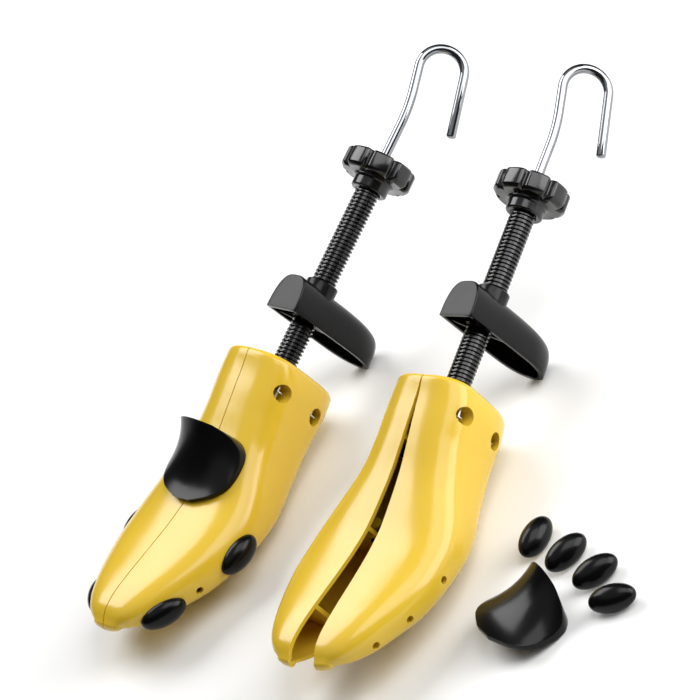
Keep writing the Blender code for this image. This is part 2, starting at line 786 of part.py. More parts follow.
def spring_mesh(collection):
    """Make one spring as a single unbroken tube."""
    points = spring_points()
    gap = least_gap(points, WIRE_RADIUS)
    print(f"spring: least gap of the wire to itself {gap * 1000:.2f} mm")
    return tube("spring", points, WIRE_RADIUS, collection, 1)


def bump_mesh(index, collection):
    """Make a flank pad whose underside fits the body and whose peg fits its hole."""
    place, normal, tangent = hole_frame(index)
    upright = normal.cross(tangent).normalized()
    turn = Matrix((tangent, upright, normal)).transposed().to_4x4()
    frame = Matrix.Translation(place) @ turn
    maker = bmesh.new()
    bmesh.ops.create_uvsphere(maker, u_segments=BUMP_POINTS, v_segments=BUMP_RINGS, radius=1.0)
    size = (BUMP_HALF_LENGTH, BUMP_HALF_WIDTH, BUMP_HEIGHT)
    maker.transform(frame @ Matrix.Diagonal((*size, 1.0)))
    mesh = bpy.data.meshes.new("bump")
    maker.to_mesh(mesh)
    maker.free()
    bump = mesh_object("bump", mesh, collection)
    combine(bump, body_loft("seat", -SEAT_GAP, collection), "DIFFERENCE")
    peg = rod_between("peg", place + normal * (BUMP_HEIGHT / 2), place - normal * PEG_LENGTH,
                      PEG_RADIUS, collection, 12)
    combine(bump, peg, "UNION")
    bump.data.transform(frame.inverted())
    smooth_shading(bump.data)
    return bump, frame


def instep_mesh(collection):
    """Make the saddle pad whose underside follows the instep."""
    maker = bmesh.new()
    under, over = [], []
    for row in range(INSTEP_ROWS + 1):
        along = (1 - math.cos(math.pi * row / INSTEP_ROWS)) / 2
        y = INSTEP_BACK_Y - along * INSTEP_LENGTH
        half = table_value(INSTEP_OUTLINE_SHARES, along, 1) * INSTEP_HALF_WIDTH
        rise_share = (1 - along) ** 2
        thick = INSTEP_FRONT_THICKNESS + (INSTEP_BACK_THICKNESS - INSTEP_FRONT_THICKNESS) * rise_share
        low_row, high_row = [], []
        for column in range(INSTEP_COLUMNS + 1):
            across = 2 * column / INSTEP_COLUMNS - 1
            x = across * half
            z = ridge_height(x, y) + SEAT_GAP * 2
            spread = max(1 - across * across, 0.0) ** INSTEP_CROWN_SHARE
            rise = INSTEP_EDGE + (thick - INSTEP_EDGE) * spread
            low_row.append(maker.verts.new((x, y, z)))
            high_row.append(maker.verts.new((x, y - rise * INSTEP_LEAN_SHARE, z + rise)))
        under.append(low_row)
        over.append(high_row)
    for rows in (under, over):
        for first, second in zip(rows, rows[1:]):
            for column in range(INSTEP_COLUMNS):
                maker.faces.new((first[column], first[column + 1], second[column + 1], second[column]))
    for low_row, high_row in ((under[0], over[0]), (under[-1], over[-1])):
        for column in range(INSTEP_COLUMNS):
            maker.faces.new((low_row[column], low_row[column + 1], high_row[column + 1], high_row[column]))
    for edge in (0, INSTEP_COLUMNS):
        for row in range(INSTEP_ROWS):
            maker.faces.new((under[row][edge], under[row + 1][edge], over[row + 1][edge], over[row][edge]))
    bmesh.ops.recalc_face_normals(maker, faces=maker.faces)
    mesh = bpy.data.meshes.new("instep")
    maker.to_mesh(mesh)
    maker.free()
    return mesh_object("instep", mesh, collection)


def place_copy(name, mesh, material, collection, parent, location=(0.0, 0.0, 0.0), turn=None):
    """Place a mesh as a named part."""
    item = mesh_object(name, mesh.copy(), collection, parent)
    item.data.name = name
    item.data.materials.clear()
    item.data.materials.append(material)
    item.location = location
    if turn is not None:
        item.rotation_euler = turn
    return item


def empty(name, collection, parent=None):
    """Make an empty that carries a frame."""
    item = bpy.data.objects.new(name, None)
    collection.objects.link(item)
    item.parent = parent
    return item


def rest_tilt(tip_y, heel_degrees):
    """Give the tilt that rests the sole and the heel piece's tip on one plane."""
    steepest = -math.inf
    tip_z = HEEL_TIP_Z * math.cos(math.radians(heel_degrees))
    for step in range(BODY_STEPS * 4):
        along = step / (BODY_STEPS * 4)
        point = body_point(along, math.pi)
        steepest = max(steepest, (point.z - tip_z) / (point.y - tip_y))
    return -math.atan(steepest)


def make_pins(prefix, shells, meshes, materials, collection):
    """Place the four cross pins that hold the springs' loops."""
    for level, height in (("upper", SPRING_HEIGHT), ("lower", -SPRING_HEIGHT)):
        for side, sign in (("right", 1), ("left", -1)):
            place_copy(f"{prefix}_{level}_{side}_spring_pin", meshes["pin"], materials["steel"],
                       collection, shells[side], (sign * PIN_X, SPRING_Y, height))


def make_stretcher(prefix, frame, spread_turns, heel_y, heel_degrees, meshes, materials, collection):
    """Place one stretcher's pieces in its frame; returns the carriers of its two halves."""
    spread = math.radians(MAX_SPREAD_DEGREES) * spread_turns / MAX_SPREAD_TURNS
    shells = {}
    for side, sign in (("right", 1), ("left", -1)):
        carrier = empty(f"{prefix}_{side}_hinge", collection, frame)
        carrier.rotation_euler = (0.0, 0.0, sign * spread)
        place_copy(f"{prefix}_{side}_shell", meshes[side], materials["yellow"], collection, carrier)
        shells[side] = carrier
    make_pins(prefix, shells, meshes, materials, collection)
    for level, height in (("upper", SPRING_HEIGHT), ("lower", -SPRING_HEIGHT)):
        place_copy(f"{prefix}_{level}_spring", meshes["spring"], materials["steel"], collection, frame,
                   (0.0, SPRING_Y, height))
    place_copy(f"{prefix}_thrust_block", meshes["block"], materials["black"], collection, frame)
    place_copy(f"{prefix}_spindle", meshes["spindle"], materials["black"], collection, frame)
    place_copy(f"{prefix}_length_knob", meshes["knob"], materials["black"], collection, frame)
    place_copy(f"{prefix}_hook_rod", meshes["rod"], materials["steel"], collection, frame)
    place_copy(f"{prefix}_rod_clip", meshes["clip"], materials["dark"], collection, frame)
    place_copy(f"{prefix}_wedge_nut", meshes["wedge"], materials["black"], collection, frame,
               (0.0, spread_turns * ROD_LEAD, 0.0))
    place_copy(f"{prefix}_heel_piece", meshes["heel"], materials["black"], collection, frame,
               (0.0, heel_y, 0.0), (0.0, math.radians(-heel_degrees), 0.0))
    return shells


def make_fitted_pads(prefix, frame, shells, meshes, materials, collection):
    """Place the four flank pads and the instep pad that stretcher A wears."""
    mirror = Matrix.Scale(-1, 4, (1.0, 0.0, 0.0))
    for index, name in zip(PADDED_HOLES, ("rear", "front")):
        mesh, pose = meshes[name]
        right = place_copy(f"{prefix}_right_{name}_bump", mesh, materials["black"], collection,
                           shells["right"])
        right.matrix_basis = pose
        flipped = mesh.copy()
        flip = Matrix.Scale(-1, 4, (0.0, 1.0, 0.0))
        flipped.transform(flip)
        flipped.flip_normals()
        left = place_copy(f"{prefix}_left_{name}_bump", flipped, materials["black"], collection,
                          shells["left"])
        left.matrix_basis = mirror @ pose @ flip
    place_copy(f"{prefix}_instep_pad", meshes["instep"], materials["black"], collection, frame)


def lowest(item):
    """Give the lowest height of an object in the world."""
    bpy.context.view_layer.update()
    return min((item.matrix_world @ vertex.co).z for vertex in item.data.vertices)


def make_loose_pads(floor, meshes, materials, collection):
    """Lay the second set of pads beside the stretchers."""
    lean = math.atan2(PEG_LENGTH, BUMP_HALF_WIDTH)
    names = ("rear", "rear", "front", "front")
    places = zip(LOOSE_BUMP_SHARES, LOOSE_BUMP_DEGREES, names)
    for number, ((sideways, along), degrees, name) in enumerate(places, 1):
        bump = place_copy(f"loose_bump_{number}", meshes[name][0], materials["black"], collection, floor,
                          (sideways * STRETCHER_SPACING_X, along * STRETCHER_SPACING_X, 0.0),
                          (lean, 0.0, math.radians(degrees)))
        bump.location.z -= lowest(bump)
    sideways, along = LOOSE_PAD_SHARES
    turn = math.radians(LOOSE_PAD_DEGREES)
    middle = Vector((0.0, INSTEP_BACK_Y - INSTEP_LENGTH / 2, 0.0))
    middle.rotate(Matrix.Rotation(turn, 3, "Z"))
    pad = place_copy("loose_instep_pad", meshes["instep"], materials["black"], collection, floor,
                     (sideways * STRETCHER_SPACING_X - middle.x, along * STRETCHER_SPACING_X - middle.y,
                      0.0), (math.radians(LOOSE_PAD_PITCH_DEGREES), 0.0, turn))
    pad.location.z -= lowest(pad)


def centre_on_floor(floor, parts):
    """Move the set so that the origin is under the middle of its box, on the floor."""
    bpy.context.view_layer.update()
    corners = []
    for item in parts:
        if item.type == "MESH":
            corners += [item.matrix_world @ vertex.co for vertex in item.data.vertices]
    low = [min(corner[axis] for corner in corners) for axis in range(3)]
    high = [max(corner[axis] for corner in corners) for axis in range(3)]
    floor.location.x -= (low[0] + high[0]) / 2
    floor.location.y -= (low[1] + high[1]) / 2
    floor.location.z -= low[2]


def detached(item):
    """Give an object's mesh and remove the object."""
    mesh = item.data
    bpy.data.objects.remove(item, do_unlink=True)
    smooth_shading(mesh)
    return mesh


def make_meshes(tools):
    """Build every distinct form once."""
    right, left = shell_meshes(tools)
    meshes = {"right": right, "left": left}
    makers = (("spindle", spindle_mesh), ("block", block_mesh), ("knob", knob_mesh), ("rod", rod_mesh),
              ("clip", clip_mesh), ("wedge", wedge_mesh), ("heel", heel_mesh), ("spring", spring_mesh),
              ("instep", instep_mesh))
    for name, maker in makers:
        meshes[name] = detached(maker(tools))
    reach = BOSS_RADIUS - SEAT_GAP
    meshes["pin"] = detached(rod_between("pin", (0.0, -reach, 0.0), (0.0, reach, 0.0), PIN_RADIUS,
                                         tools, 10))
    for index, name in zip(PADDED_HOLES, ("rear", "front")):
        bump, pose = bump_mesh(index, tools)
        meshes[name] = (detached(bump), pose)
    return meshes


def main():
    """Build the set."""
    clear_scene()
    parts = new_collection("shoe_stretchers")
    tools = new_collection("cutters")
    materials = {
        "yellow": make_material("yellow_plastic", YELLOW, 0.28, 0.0),
        "black": make_material("black_plastic", BLACK, 0.30, 0.0),
        "steel": make_material("chromed_steel", STEEL, 0.12, 1.0),
        "dark": make_material("dark_steel", DARK_STEEL, 0.35, 1.0),
    }
    meshes = make_meshes(tools)
    floor = empty("floor_frame", parts)
    places = (("a", 0.0, 0.0, 0.0, 0, HEEL_A_TURNS * SPINDLE_PITCH, HEEL_A_DEGREES),
              ("b", STRETCHER_SPACING_X, STRETCHER_STEP_Y, STRETCHER_B_YAW_DEGREES, SPREAD_B_TURNS,
               HEEL_B_TURNS * SPINDLE_PITCH, HEEL_B_DEGREES))
    frames = {}
    for prefix, x, y, yaw, spread_turns, heel_y, heel_degrees in places:
        frame = empty(f"{prefix}_frame", parts, floor)
        frame.rotation_euler = (rest_tilt(heel_y, heel_degrees), 0.0, math.radians(yaw))
        frame.location = (x, y, 0.0)
        frames[prefix] = frame
        shells = make_stretcher(prefix, frame, spread_turns, heel_y, heel_degrees, meshes, materials,
                                parts)
        if prefix == "a":
            make_fitted_pads("a", frame, shells, meshes, materials, parts)
    for prefix, frame in frames.items():
        bodies = [item for item in parts.objects if item.type == "MESH" and item.name.startswith(prefix)]
        frame.location.z -= min(lowest(item) for item in bodies)
    make_loose_pads(floor, meshes, materials, parts)
    centre_on_floor(floor, list(parts.objects))
    bpy.context.view_layer.update()


main()
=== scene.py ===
"""Looks of a pair of two-way shoe stretchers with their pads.

Every piece is modelled in the frame of its own stretcher, where +Y runs up the spindle, +Z points
out of the instep and +X is the right flank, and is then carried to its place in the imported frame.
"""

import json
import math

import bpy
from bpy.props import FloatProperty, FloatVectorProperty, IntProperty, PointerProperty
from mathutils import Euler, Matrix, Vector

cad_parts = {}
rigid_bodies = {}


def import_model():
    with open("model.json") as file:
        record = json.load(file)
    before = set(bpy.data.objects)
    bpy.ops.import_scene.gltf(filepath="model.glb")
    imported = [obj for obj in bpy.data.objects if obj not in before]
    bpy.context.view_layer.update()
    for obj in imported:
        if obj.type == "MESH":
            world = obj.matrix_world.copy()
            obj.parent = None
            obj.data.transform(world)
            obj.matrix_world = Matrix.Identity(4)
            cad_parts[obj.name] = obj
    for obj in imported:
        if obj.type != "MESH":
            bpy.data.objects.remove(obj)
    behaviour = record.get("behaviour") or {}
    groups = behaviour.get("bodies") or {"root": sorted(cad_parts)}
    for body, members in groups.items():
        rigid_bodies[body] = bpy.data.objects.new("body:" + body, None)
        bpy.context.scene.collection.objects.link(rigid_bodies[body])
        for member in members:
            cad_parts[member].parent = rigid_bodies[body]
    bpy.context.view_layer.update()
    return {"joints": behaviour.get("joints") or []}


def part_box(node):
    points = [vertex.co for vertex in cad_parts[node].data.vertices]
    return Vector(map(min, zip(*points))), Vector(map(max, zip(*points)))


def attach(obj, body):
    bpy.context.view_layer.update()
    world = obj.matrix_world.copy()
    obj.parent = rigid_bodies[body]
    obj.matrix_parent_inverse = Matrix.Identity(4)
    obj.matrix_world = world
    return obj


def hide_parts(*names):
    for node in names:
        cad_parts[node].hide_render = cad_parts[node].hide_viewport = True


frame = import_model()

bl_info = {
    "name": "Shoe Stretcher Pair",
    "version": (1, 0, 0),
    "blender": (4, 5, 0),
    "location": "View3D > Sidebar > Stretcher",
    "description": "Models the moulded halves, spindles, knobs, hooks, heel pieces and pads",
    "category": "Object",
}

# Fits
SEAM_HALF_GAP = 0.00032
SEAT_GAP = 0.0003
RUN_GAP = 0.0004
OVERRUN = 0.012
MERGE_DISTANCE = 0.00001

# Moulded halves
BODY_LENGTH = 0.172
BACK_HEIGHT = 0.060
BALL_HALF_WIDTH = 0.0415
WALL = 0.0026
BACK_EDGE_RADIUS = 0.0035
TOE_CAP = 0.0034
FACE_RINGS = 8
EDGE_RINGS = 6
CAP_RINGS = 8
UPPER_POWER_SHARES = (0.78, 0.68)
LOWER_POWER_SHARES = (0.64, 0.86)
CENTRE_SHARES = (0.70, 0.36)
STATION_SHARES = (
    (0.000, 0.490, -0.546, 0.580),
    (0.070, 0.452, -0.542, 0.645),
    (0.140, 0.428, -0.525, 0.655),
    (0.205, 0.402, -0.514, 0.665),
    (0.315, 0.361, -0.486, 0.740),
    (0.445, 0.352, -0.406, 0.910),
    (0.525, 0.362, -0.317, 0.980),
    (0.605, 0.405, -0.218, 0.990),
    (0.685, 0.467, -0.126, 0.960),
    (0.765, 0.536, -0.029, 0.874),
    (0.845, 0.605, 0.110, 0.737),
    (0.915, 0.650, 0.240, 0.590),
    (0.960, 0.655, 0.350, 0.455),
    (0.985, 0.635, 0.440, 0.345),
    (1.000, 0.610, 0.495, 0.245),
)
WEB = 0.0024
WEB_PLACES = (-0.0345, -0.0880, -0.1405)
NOSE_Y = -0.0800
NOSE_RADIUS = 0.0030
NOSE_DEPTH = 0.0070

# Springs
SPRING_Y = -0.0180
SPRING_HEIGHT = 0.0147
BORE_RADIUS = 0.0051
BOSS_RADIUS = 0.0064
BOSS_INNER_X = 0.0040
PIN_RADIUS = 0.0010
PIN_X = 0.0205
PIN_EDGE = 0.0002
WIRE_RADIUS = 0.0005
COIL_RADIUS = 0.0031
COIL_HALF_LENGTH = 0.0115
COIL_POINTS = 16
LOOP_POINTS = 12
LOOP_LEAD = 0.0012
LOOP_START_SHARE = 0.94

# Spindle, block and knob
SPINDLE_RADIUS = 0.0070
SPINDLE_BORE = 0.0037
SPINDLE_TOP_Y = 0.1160
SPINDLE_PITCH = 0.0023
THREAD_FLANK_SHARES = (0.16, 0.38, 0.66, 0.88)
THREAD_OVERLAP = 0.001
COLLAR_RADIUS = 0.0100
COLLAR_LENGTH = 0.0040
COLLAR_EDGE = 0.0005
BLOCK_FRONT_Y = -0.0415
BLOCK_LENGTH = 0.0140
BLOCK_WIDTH = 0.0220
BLOCK_EDGE = 0.0012
KNOB_RADIUS = 0.0205
KNOB_DEPTH = 0.0026
KNOB_LOBES = 8
KNOB_LOBE_COLUMNS = 32
KNOB_NOTCH_POWER = 9
KNOB_UNDERSIDE_Y = 0.1185
KNOB_THICKNESS = 0.0118
KNOB_TOP_CHAMFER = 0.0011
KNOB_UNDER_CHAMFER = 0.0019
KNOB_MARGIN = 0.0020
KNOB_DISH_SHARE = 0.55
KNOB_EDGE = 0.00035
HUB_RADIUS = 0.0105
HUB_LENGTH = 0.0075
HUB_FLANGE = 0.0012
HUB_STEP = 0.0018
HUB_EDGE = 0.0008

# Hook rod, clip and wedge nut
ROD_RADIUS = 0.00275
ROD_END_Y = -0.1065
ROD_THREAD_Y = -0.0560
ROD_LEAD = 0.0030
ROD_STARTS = 3
ROD_THREAD_DEPTH = 0.00045
CLIP_RADIUS = 0.0055
CLIP_LENGTH = 0.0020
CLIP_EDGE = 0.0003
HOOK_START_Y = 0.1540
HOOK_LEAN_DEGREES = 12
HOOK_LEAN_RADIUS = 0.1050
HOOK_NECK = 0.0135
HOOK_RADIUS = 0.0130
HOOK_SPLAY_DEGREES = 13
HOOK_LEG = 0.0360
HOOK_PLANE_DEGREES = 50
WEDGE_LENGTH = 0.0270
WEDGE_TIP_Y = -0.0780
WEDGE_TIP_HALF_WIDTH = 0.0046
WEDGE_HEIGHT = 0.0150
WEDGE_TRAVEL = 0.0240
WEDGE_EDGE = 0.0006
MAX_SPREAD_DEGREES = 4.5

# Heel piece
HEEL_TOP_Z = 0.0205
HEEL_TIP_Z = -0.0540
HEEL_DEPTH = 0.0210
HEEL_TOP_HALF_WIDTH = 0.0118
HEEL_WALL = 0.0022
HEEL_FILLET = 0.0009
HEEL_INNER_FILLET = 0.0006
HEEL_EDGE = 0.0003
HEEL_COLLAR_RADIUS = 0.0092
HEEL_COLLAR_REACH = 0.0045
HEEL_COLLAR_START = 0.0020
HEEL_RIB = 0.0018
HEEL_RIB_START = 0.0008
HEEL_RIB_REACH_SHARE = 0.95
HEEL_RIB_DEGREES = 38
HEEL_STATION_SHARES = (
    (0.00, 1.00, 1.00),
    (0.20, 1.02, 1.00),
    (0.42, 1.05, 1.00),
    (0.62, 1.05, 0.98),
    (0.78, 1.00, 0.93),
    (0.90, 0.80, 0.84),
    (0.97, 0.50, 0.72),
    (1.00, 0.24, 0.62),
)
HEEL_ARCH_SHARE = 0.62
HEEL_ARCH_RISE_SHARE = 0.80
HEEL_FLAT_COLUMNS = 4
HEEL_FILLET_STEPS = 5
HEEL_TOP_SHARES = (0.0, 0.35, 0.70)
HEEL_TIP_SHARES = (0.8, 0.4, 0.0)

# Pads
PEG_RADIUS = 0.0019
PEG_LENGTH = 0.0062
HOLE_SHARES = (0.634, 0.791, 0.904)
BUMP_HALF_LENGTH = 0.0133
BUMP_HALF_WIDTH = 0.0075
BUMP_HEIGHT = 0.0066
INSTEP_BACK_Y = -0.0507
INSTEP_LENGTH = 0.0413
INSTEP_HALF_WIDTH = 0.0256
INSTEP_BACK_THICKNESS = 0.0232
INSTEP_FRONT_THICKNESS = 0.0032
INSTEP_FALL_POWER = 2.1
INSTEP_ARCH_POWERS = (1.20, 0.60)
INSTEP_LEAN_SHARE = 0.08
INSTEP_EDGE = 0.0022
INSTEP_ROUNDING = 0.0004
INSTEP_OUTLINE_SHARES = (
    (0.000, 0.500),
    (0.020, 0.640),
    (0.056, 0.770),
    (0.136, 0.900),
    (0.225, 0.960),
    (0.360, 1.000),
    (0.571, 1.000),
    (0.746, 0.910),
    (0.867, 0.710),
    (0.932, 0.500),
    (1.000, 0.220),
)

# Rest poses
HEEL_PLACES = {"a": (0.0276, 2.0), "b": (0.0391, 5.0)}
WEDGE_STEPS = {"a": 0.0, "b": 0.0150}
LOOSE_BUMP_DEGREES = (97, 74, 60, 33)
LOOSE_PAD_DEGREES = -21
LOOSE_PAD_PITCH_DEGREES = -14

# Camera, from the fit of the photograph's outlines
CAMERA_AZIMUTH = 61.50
CAMERA_ELEVATION = 36.10
CAMERA_ROLL = -34.00
CAMERA_DISTANCE = 2.8502
CAMERA_FOCAL_PIXELS = 5131.6
CAMERA_TARGET = (-0.00037, 0.04218, -0.03015)
IMAGE_PIXELS = 700
SENSOR_MM = 36.0
CAMERA_CLIP_END = 20.0

# Floor and softboxes: place, the point it faces, width and height
FLOOR_SIZE = 9.0
FLOOR_DROP = 0.0002
SKY_BAND = (0.62, 0.86)
KEY_BOX = ((-0.95, 0.11, 1.07), (-0.1, -0.05, 0.03), (0.95, 0.80))
STRIP_BOX = ((0.55, 0.38, 1.20), (0.0, -0.05, 0.03), (0.90, 0.90))
FILL_BOX = ((0.95, 0.85, 0.55), (0.0, -0.05, 0.03), (1.10, 0.90))


def linear(code):
    """Turn an sRGB hex colour into a linear one."""
    values = []
    for start in (0, 2, 4):
        part = int(code[start:start + 2], 16) / 255
        values.append(part / 12.92 if part <= 0.04045 else ((part + 0.055) / 1.055) ** 2.4)
    return (*values, 1.0)


class StretcherFinish(bpy.types.PropertyGroup):
    """Colours and finish of the materials."""

    shell_colour: FloatVectorProperty(name="Shell colour", subtype="COLOR", size=4,
                                      description="Colour of the moulded halves",
                                      min=0.0, max=1.0, default=linear("E0BC38"))
    trim_colour: FloatVectorProperty(name="Trim colour", subtype="COLOR", size=4,
                                     description="Colour of the black mouldings",
                                     min=0.0, max=1.0, default=linear("0A0A0B"))
    shell_roughness: FloatProperty(name="Shell roughness", default=0.17, min=0.0, max=1.0,
                                   description="Roughness of the yellow halves")
    trim_roughness: FloatProperty(name="Trim roughness", default=0.20, min=0.0, max=1.0,
                                  description="Roughness of the black mouldings")


class StretcherForm(bpy.types.PropertyGroup):
    """Fineness and small forms of the pieces."""

    shell_columns: IntProperty(name="Shell columns", description="Faces from the ridge to the sole",
                               default=56, min=16, max=128)
    shell_rows: IntProperty(name="Shell rows", description="Faces along each half",
                            default=72, min=16, max=160)
    seam_chamfer: FloatProperty(name="Seam chamfer", description="Chamfer along the parting line",
                                default=0.00045, min=0.0, max=0.002, unit="LENGTH", precision=5)
    thread_depth: FloatProperty(name="Thread depth", description="Depth of the spindle's thread",
                                default=0.00115, min=0.0002, max=0.002, unit="LENGTH", precision=5)
    coil_turns: IntProperty(name="Coil turns", description="Turns of each return spring",
                            default=16, min=6, max=22)


class StretcherStage(bpy.types.PropertyGroup):
    """Floor and light."""

    floor_colour: FloatVectorProperty(name="Floor colour", description="Colour of the floor",
                                      subtype="COLOR", size=4, min=0.0, max=1.0,
                                      default=linear("F4F4F3"))
    key_power: FloatProperty(name="Key power", description="Power of the main softbox",
                             default=14.2, min=0.0, unit="POWER")
    strip_power: FloatProperty(name="Strip power", description="Power of the softbox overhead",
                               default=8.0, min=0.0, unit="POWER")
    fill_power: FloatProperty(name="Fill power", description="Power of the side softbox",
                              default=17.0, min=0.0, unit="POWER")
    sky_strength: FloatProperty(name="Sky strength", description="Strength of the light ceiling",
                                default=0.55, min=0.0)
    wall_strength: FloatProperty(name="Wall strength", description="Strength of the dim walls",
                                 default=0.05, min=0.0)


# Small tools for meshes and placing

def deselect():
    """Leave edit mode and select nothing."""
    if bpy.context.object and bpy.context.object.mode != "OBJECT":
        bpy.ops.object.mode_set(mode="OBJECT")
    bpy.ops.object.select_all(action="DESELECT")


def activate(item):
    """Make one object the only selected and active one."""
    deselect()
    item.select_set(True)
    bpy.context.view_layer.objects.active = item


def named(name):
    """Name the object that an operator has just added."""
    item = bpy.context.object
    item.name = name
    item.data.name = name
    return item


def settle(item):
    """Apply an object's place, turn and size to its mesh."""
    activate(item)
    bpy.ops.object.transform_apply(location=True, rotation=True, scale=True)
    return item


def modify(item, kind, **settings):
    """Add a modifier and apply it."""
    activate(item)
    modifier = item.modifiers.new(kind.title(), kind)
    for key, value in settings.items():
        setattr(modifier, key, value)
    bpy.ops.object.modifier_apply(modifier=modifier.name)
    return item


def cut(item, tool, operation="DIFFERENCE"):
    """Run an exact Boolean with a tool object, which is then removed."""
    modify(item, "BOOLEAN", operation=operation, solver="EXACT", object=tool)
    bpy.data.objects.remove(tool, do_unlink=True)
    return item


def join(items, name):
    """Join objects into the first one."""
    deselect()
    for item in items:
        item.select_set(True)
    bpy.context.view_layer.objects.active = items[0]
    bpy.ops.object.join()
    return named(name)


def tidy(item):
    """Merge doubles and turn the faces outwards."""
    activate(item)
    bpy.ops.object.mode_set(mode="EDIT")
    bpy.ops.mesh.select_all(action="SELECT")
    bpy.ops.mesh.remove_doubles(threshold=MERGE_DISTANCE)
    bpy.ops.mesh.normals_make_consistent(inside=False)
    bpy.ops.object.mode_set(mode="OBJECT")
    return item


def smooth(item, degrees=32):
    """Shade smooth and keep the sharp edges."""
    activate(item)
    bpy.ops.object.shade_smooth_by_angle(angle=math.radians(degrees))
    return item


def rod(name, start, end, radius, vertices=48):
    """Add a cylinder between two points."""
    start, end = Vector(start), Vector(end)
    direction = end - start
    deselect()
    bpy.ops.mesh.primitive_cylinder_add(vertices=vertices, radius=radius, depth=direction.length,
                                        location=(start + end) / 2,
                                        rotation=direction.to_track_quat("Z", "Y").to_euler())
    return settle(named(name))


def block(name, low, high, edge=0.0):
    """Add a box between two corners, its edges rounded."""
    low, high = Vector(low), Vector(high)
    deselect()
    bpy.ops.mesh.primitive_cube_add(size=1.0, location=(low + high) / 2)
    item = named(name)
    item.scale = high - low
    settle(item)
    if edge:
        modify(item, "BEVEL", width=edge, segments=3)
    return item


def mapped_grid(name, columns, rows, place):
    """Add a grid and lay its vertices on a surface given by place(column share, row share)."""
    deselect()
    bpy.ops.mesh.primitive_grid_add(x_subdivisions=columns, y_subdivisions=rows, size=2.0)
    item = named(name)
    for vertex in item.data.vertices:
        across = (vertex.co.x + 1) / 2
        along = (vertex.co.y + 1) / 2
        vertex.co = place(across, along)
    return item


def turned(name, profile, vertices=48):
    """Spin a closed profile of (radius, y) points about the Y axis."""
    deselect()
    mesh = bpy.data.meshes.new(name)
    pairs = [(index, (index + 1) % len(profile)) for index in range(len(profile))]
    edges = [pair for pair in pairs if profile[pair[0]][0] + profile[pair[1]][0] > 0]
    mesh.from_pydata([(radius, y, 0.0) for radius, y in profile], edges, [])
    item = bpy.data.objects.new(name, mesh)
    bpy.context.scene.collection.objects.link(item)
    activate(item)
    bpy.ops.object.mode_set(mode="EDIT")
    bpy.ops.mesh.select_all(action="SELECT")
    bpy.ops.mesh.spin(steps=vertices, angle=math.tau, center=(0.0, 0.0, 0.0), axis=(0.0, 1.0, 0.0))
    bpy.ops.object.mode_set(mode="OBJECT")
    return tidy(item)


def threaded(name, root, crest, lead, starts, low_y, high_y, steps):
    """Screw a thread about the Y axis and close its ends."""
    pitch = lead / starts
    profile = []
    for start in range(starts):
        base = start * pitch
        profile.append((root, base))
        for share, radius in zip(THREAD_FLANK_SHARES, (root, crest, crest, root)):
            profile.append((radius, base + pitch * share))
    profile.append((root, lead))
    mesh = bpy.data.meshes.new(name)
    mesh.from_pydata([(radius, 0.0, y) for radius, y in profile],
                     [(index, index + 1) for index in range(len(profile) - 1)], [])
    item = bpy.data.objects.new(name, mesh)
    bpy.context.scene.collection.objects.link(item)
    turns = max(int(round((high_y - low_y) / lead)) - 1, 1)
    modify(item, "SCREW", axis="Z", angle=math.tau, screw_offset=lead, iterations=turns,
           steps=steps, render_steps=steps, use_merge_vertices=True,
           merge_threshold=MERGE_DISTANCE)
    activate(item)
    bpy.ops.object.mode_set(mode="EDIT")
    bpy.ops.mesh.select_all(action="SELECT")
    bpy.ops.mesh.remove_doubles(threshold=MERGE_DISTANCE)
    bpy.ops.mesh.fill_holes(sides=0)
    bpy.ops.mesh.select_all(action="SELECT")
    bpy.ops.mesh.normals_make_consistent(inside=False)
    bpy.ops.object.mode_set(mode="OBJECT")
    item.rotation_euler = (math.radians(-90), 0.0, 0.0)
    item.location = (0.0, low_y, 0.0)
    return settle(item)


def tube(name, points, radius, resolution, rounded):
    """Sweep a round bar along points and round off both ends in a number of steps."""
    deselect()
    curve = bpy.data.curves.new(name, "CURVE")
    curve.dimensions = "3D"
    curve.bevel_depth = radius
    curve.bevel_resolution = resolution
    curve.use_fill_caps = True
    spline = curve.splines.new("POLY")
    route = [(Vector(point), 1.0) for point in points]
    for index, forward in ((0, route[0][0] - route[1][0]), (-1, route[-1][0] - route[-2][0])):
        ahead = forward.normalized() * radius * 0.5
        end = route[index][0]
        caps = []
        for step in range(rounded + 1):
            turn = math.radians(84) * step / rounded
            caps.append((end + ahead * (math.sin(turn) - 1), math.cos(turn)))
        if index == 0:
            route = list(reversed(caps)) + route[1:]
        else:
            route = route[:-1] + caps
    spline.points.add(len(route) - 1)
    for place, (point, width) in zip(spline.points, route):
        place.co = (*point, 1.0)
        place.radius = width
    item = bpy.data.objects.new(name, curve)
    bpy.context.scene.collection.objects.link(item)
    activate(item)
    bpy.ops.object.convert(target="MESH")
    return tidy(bpy.context.object)


def copied(item, name, matrix):
    """Copy a piece with its own mesh, carried by a matrix."""
    mesh = item.data.copy()
    mesh.name = name
    mesh.transform(matrix)
    if matrix.determinant() < 0:
        mesh.flip_normals()
    twin = bpy.data.objects.new(name, mesh)
    bpy.context.scene.collection.objects.link(twin)
    return twin


def finished(item, body, nodes, material):
    """Give a piece its material and body, and hide its CAD nodes."""
    item.data.materials.clear()
    item.data.materials.append(material)
    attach(item, body)
    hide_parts(*nodes)
    return item


def lay_down(item, node):
    """Move a loose piece over its CAD node, resting on the same level."""
    low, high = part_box(node)
    corners = [vertex.co for vertex in item.data.vertices]
    least = Vector([min(corner[axis] for corner in corners) for axis in range(3)])
    most = Vector([max(corner[axis] for corner in corners) for axis in range(3)])
    shift = (Vector(low) + Vector(high) - least - most) / 2
    shift.z = low[2] - least.z
    item.data.transform(Matrix.Translation(shift))


def discard(*items):
    """Remove the patterns that copies were made from."""
    for item in items:
        bpy.data.objects.remove(item, do_unlink=True)


# Forms shared with the CAD

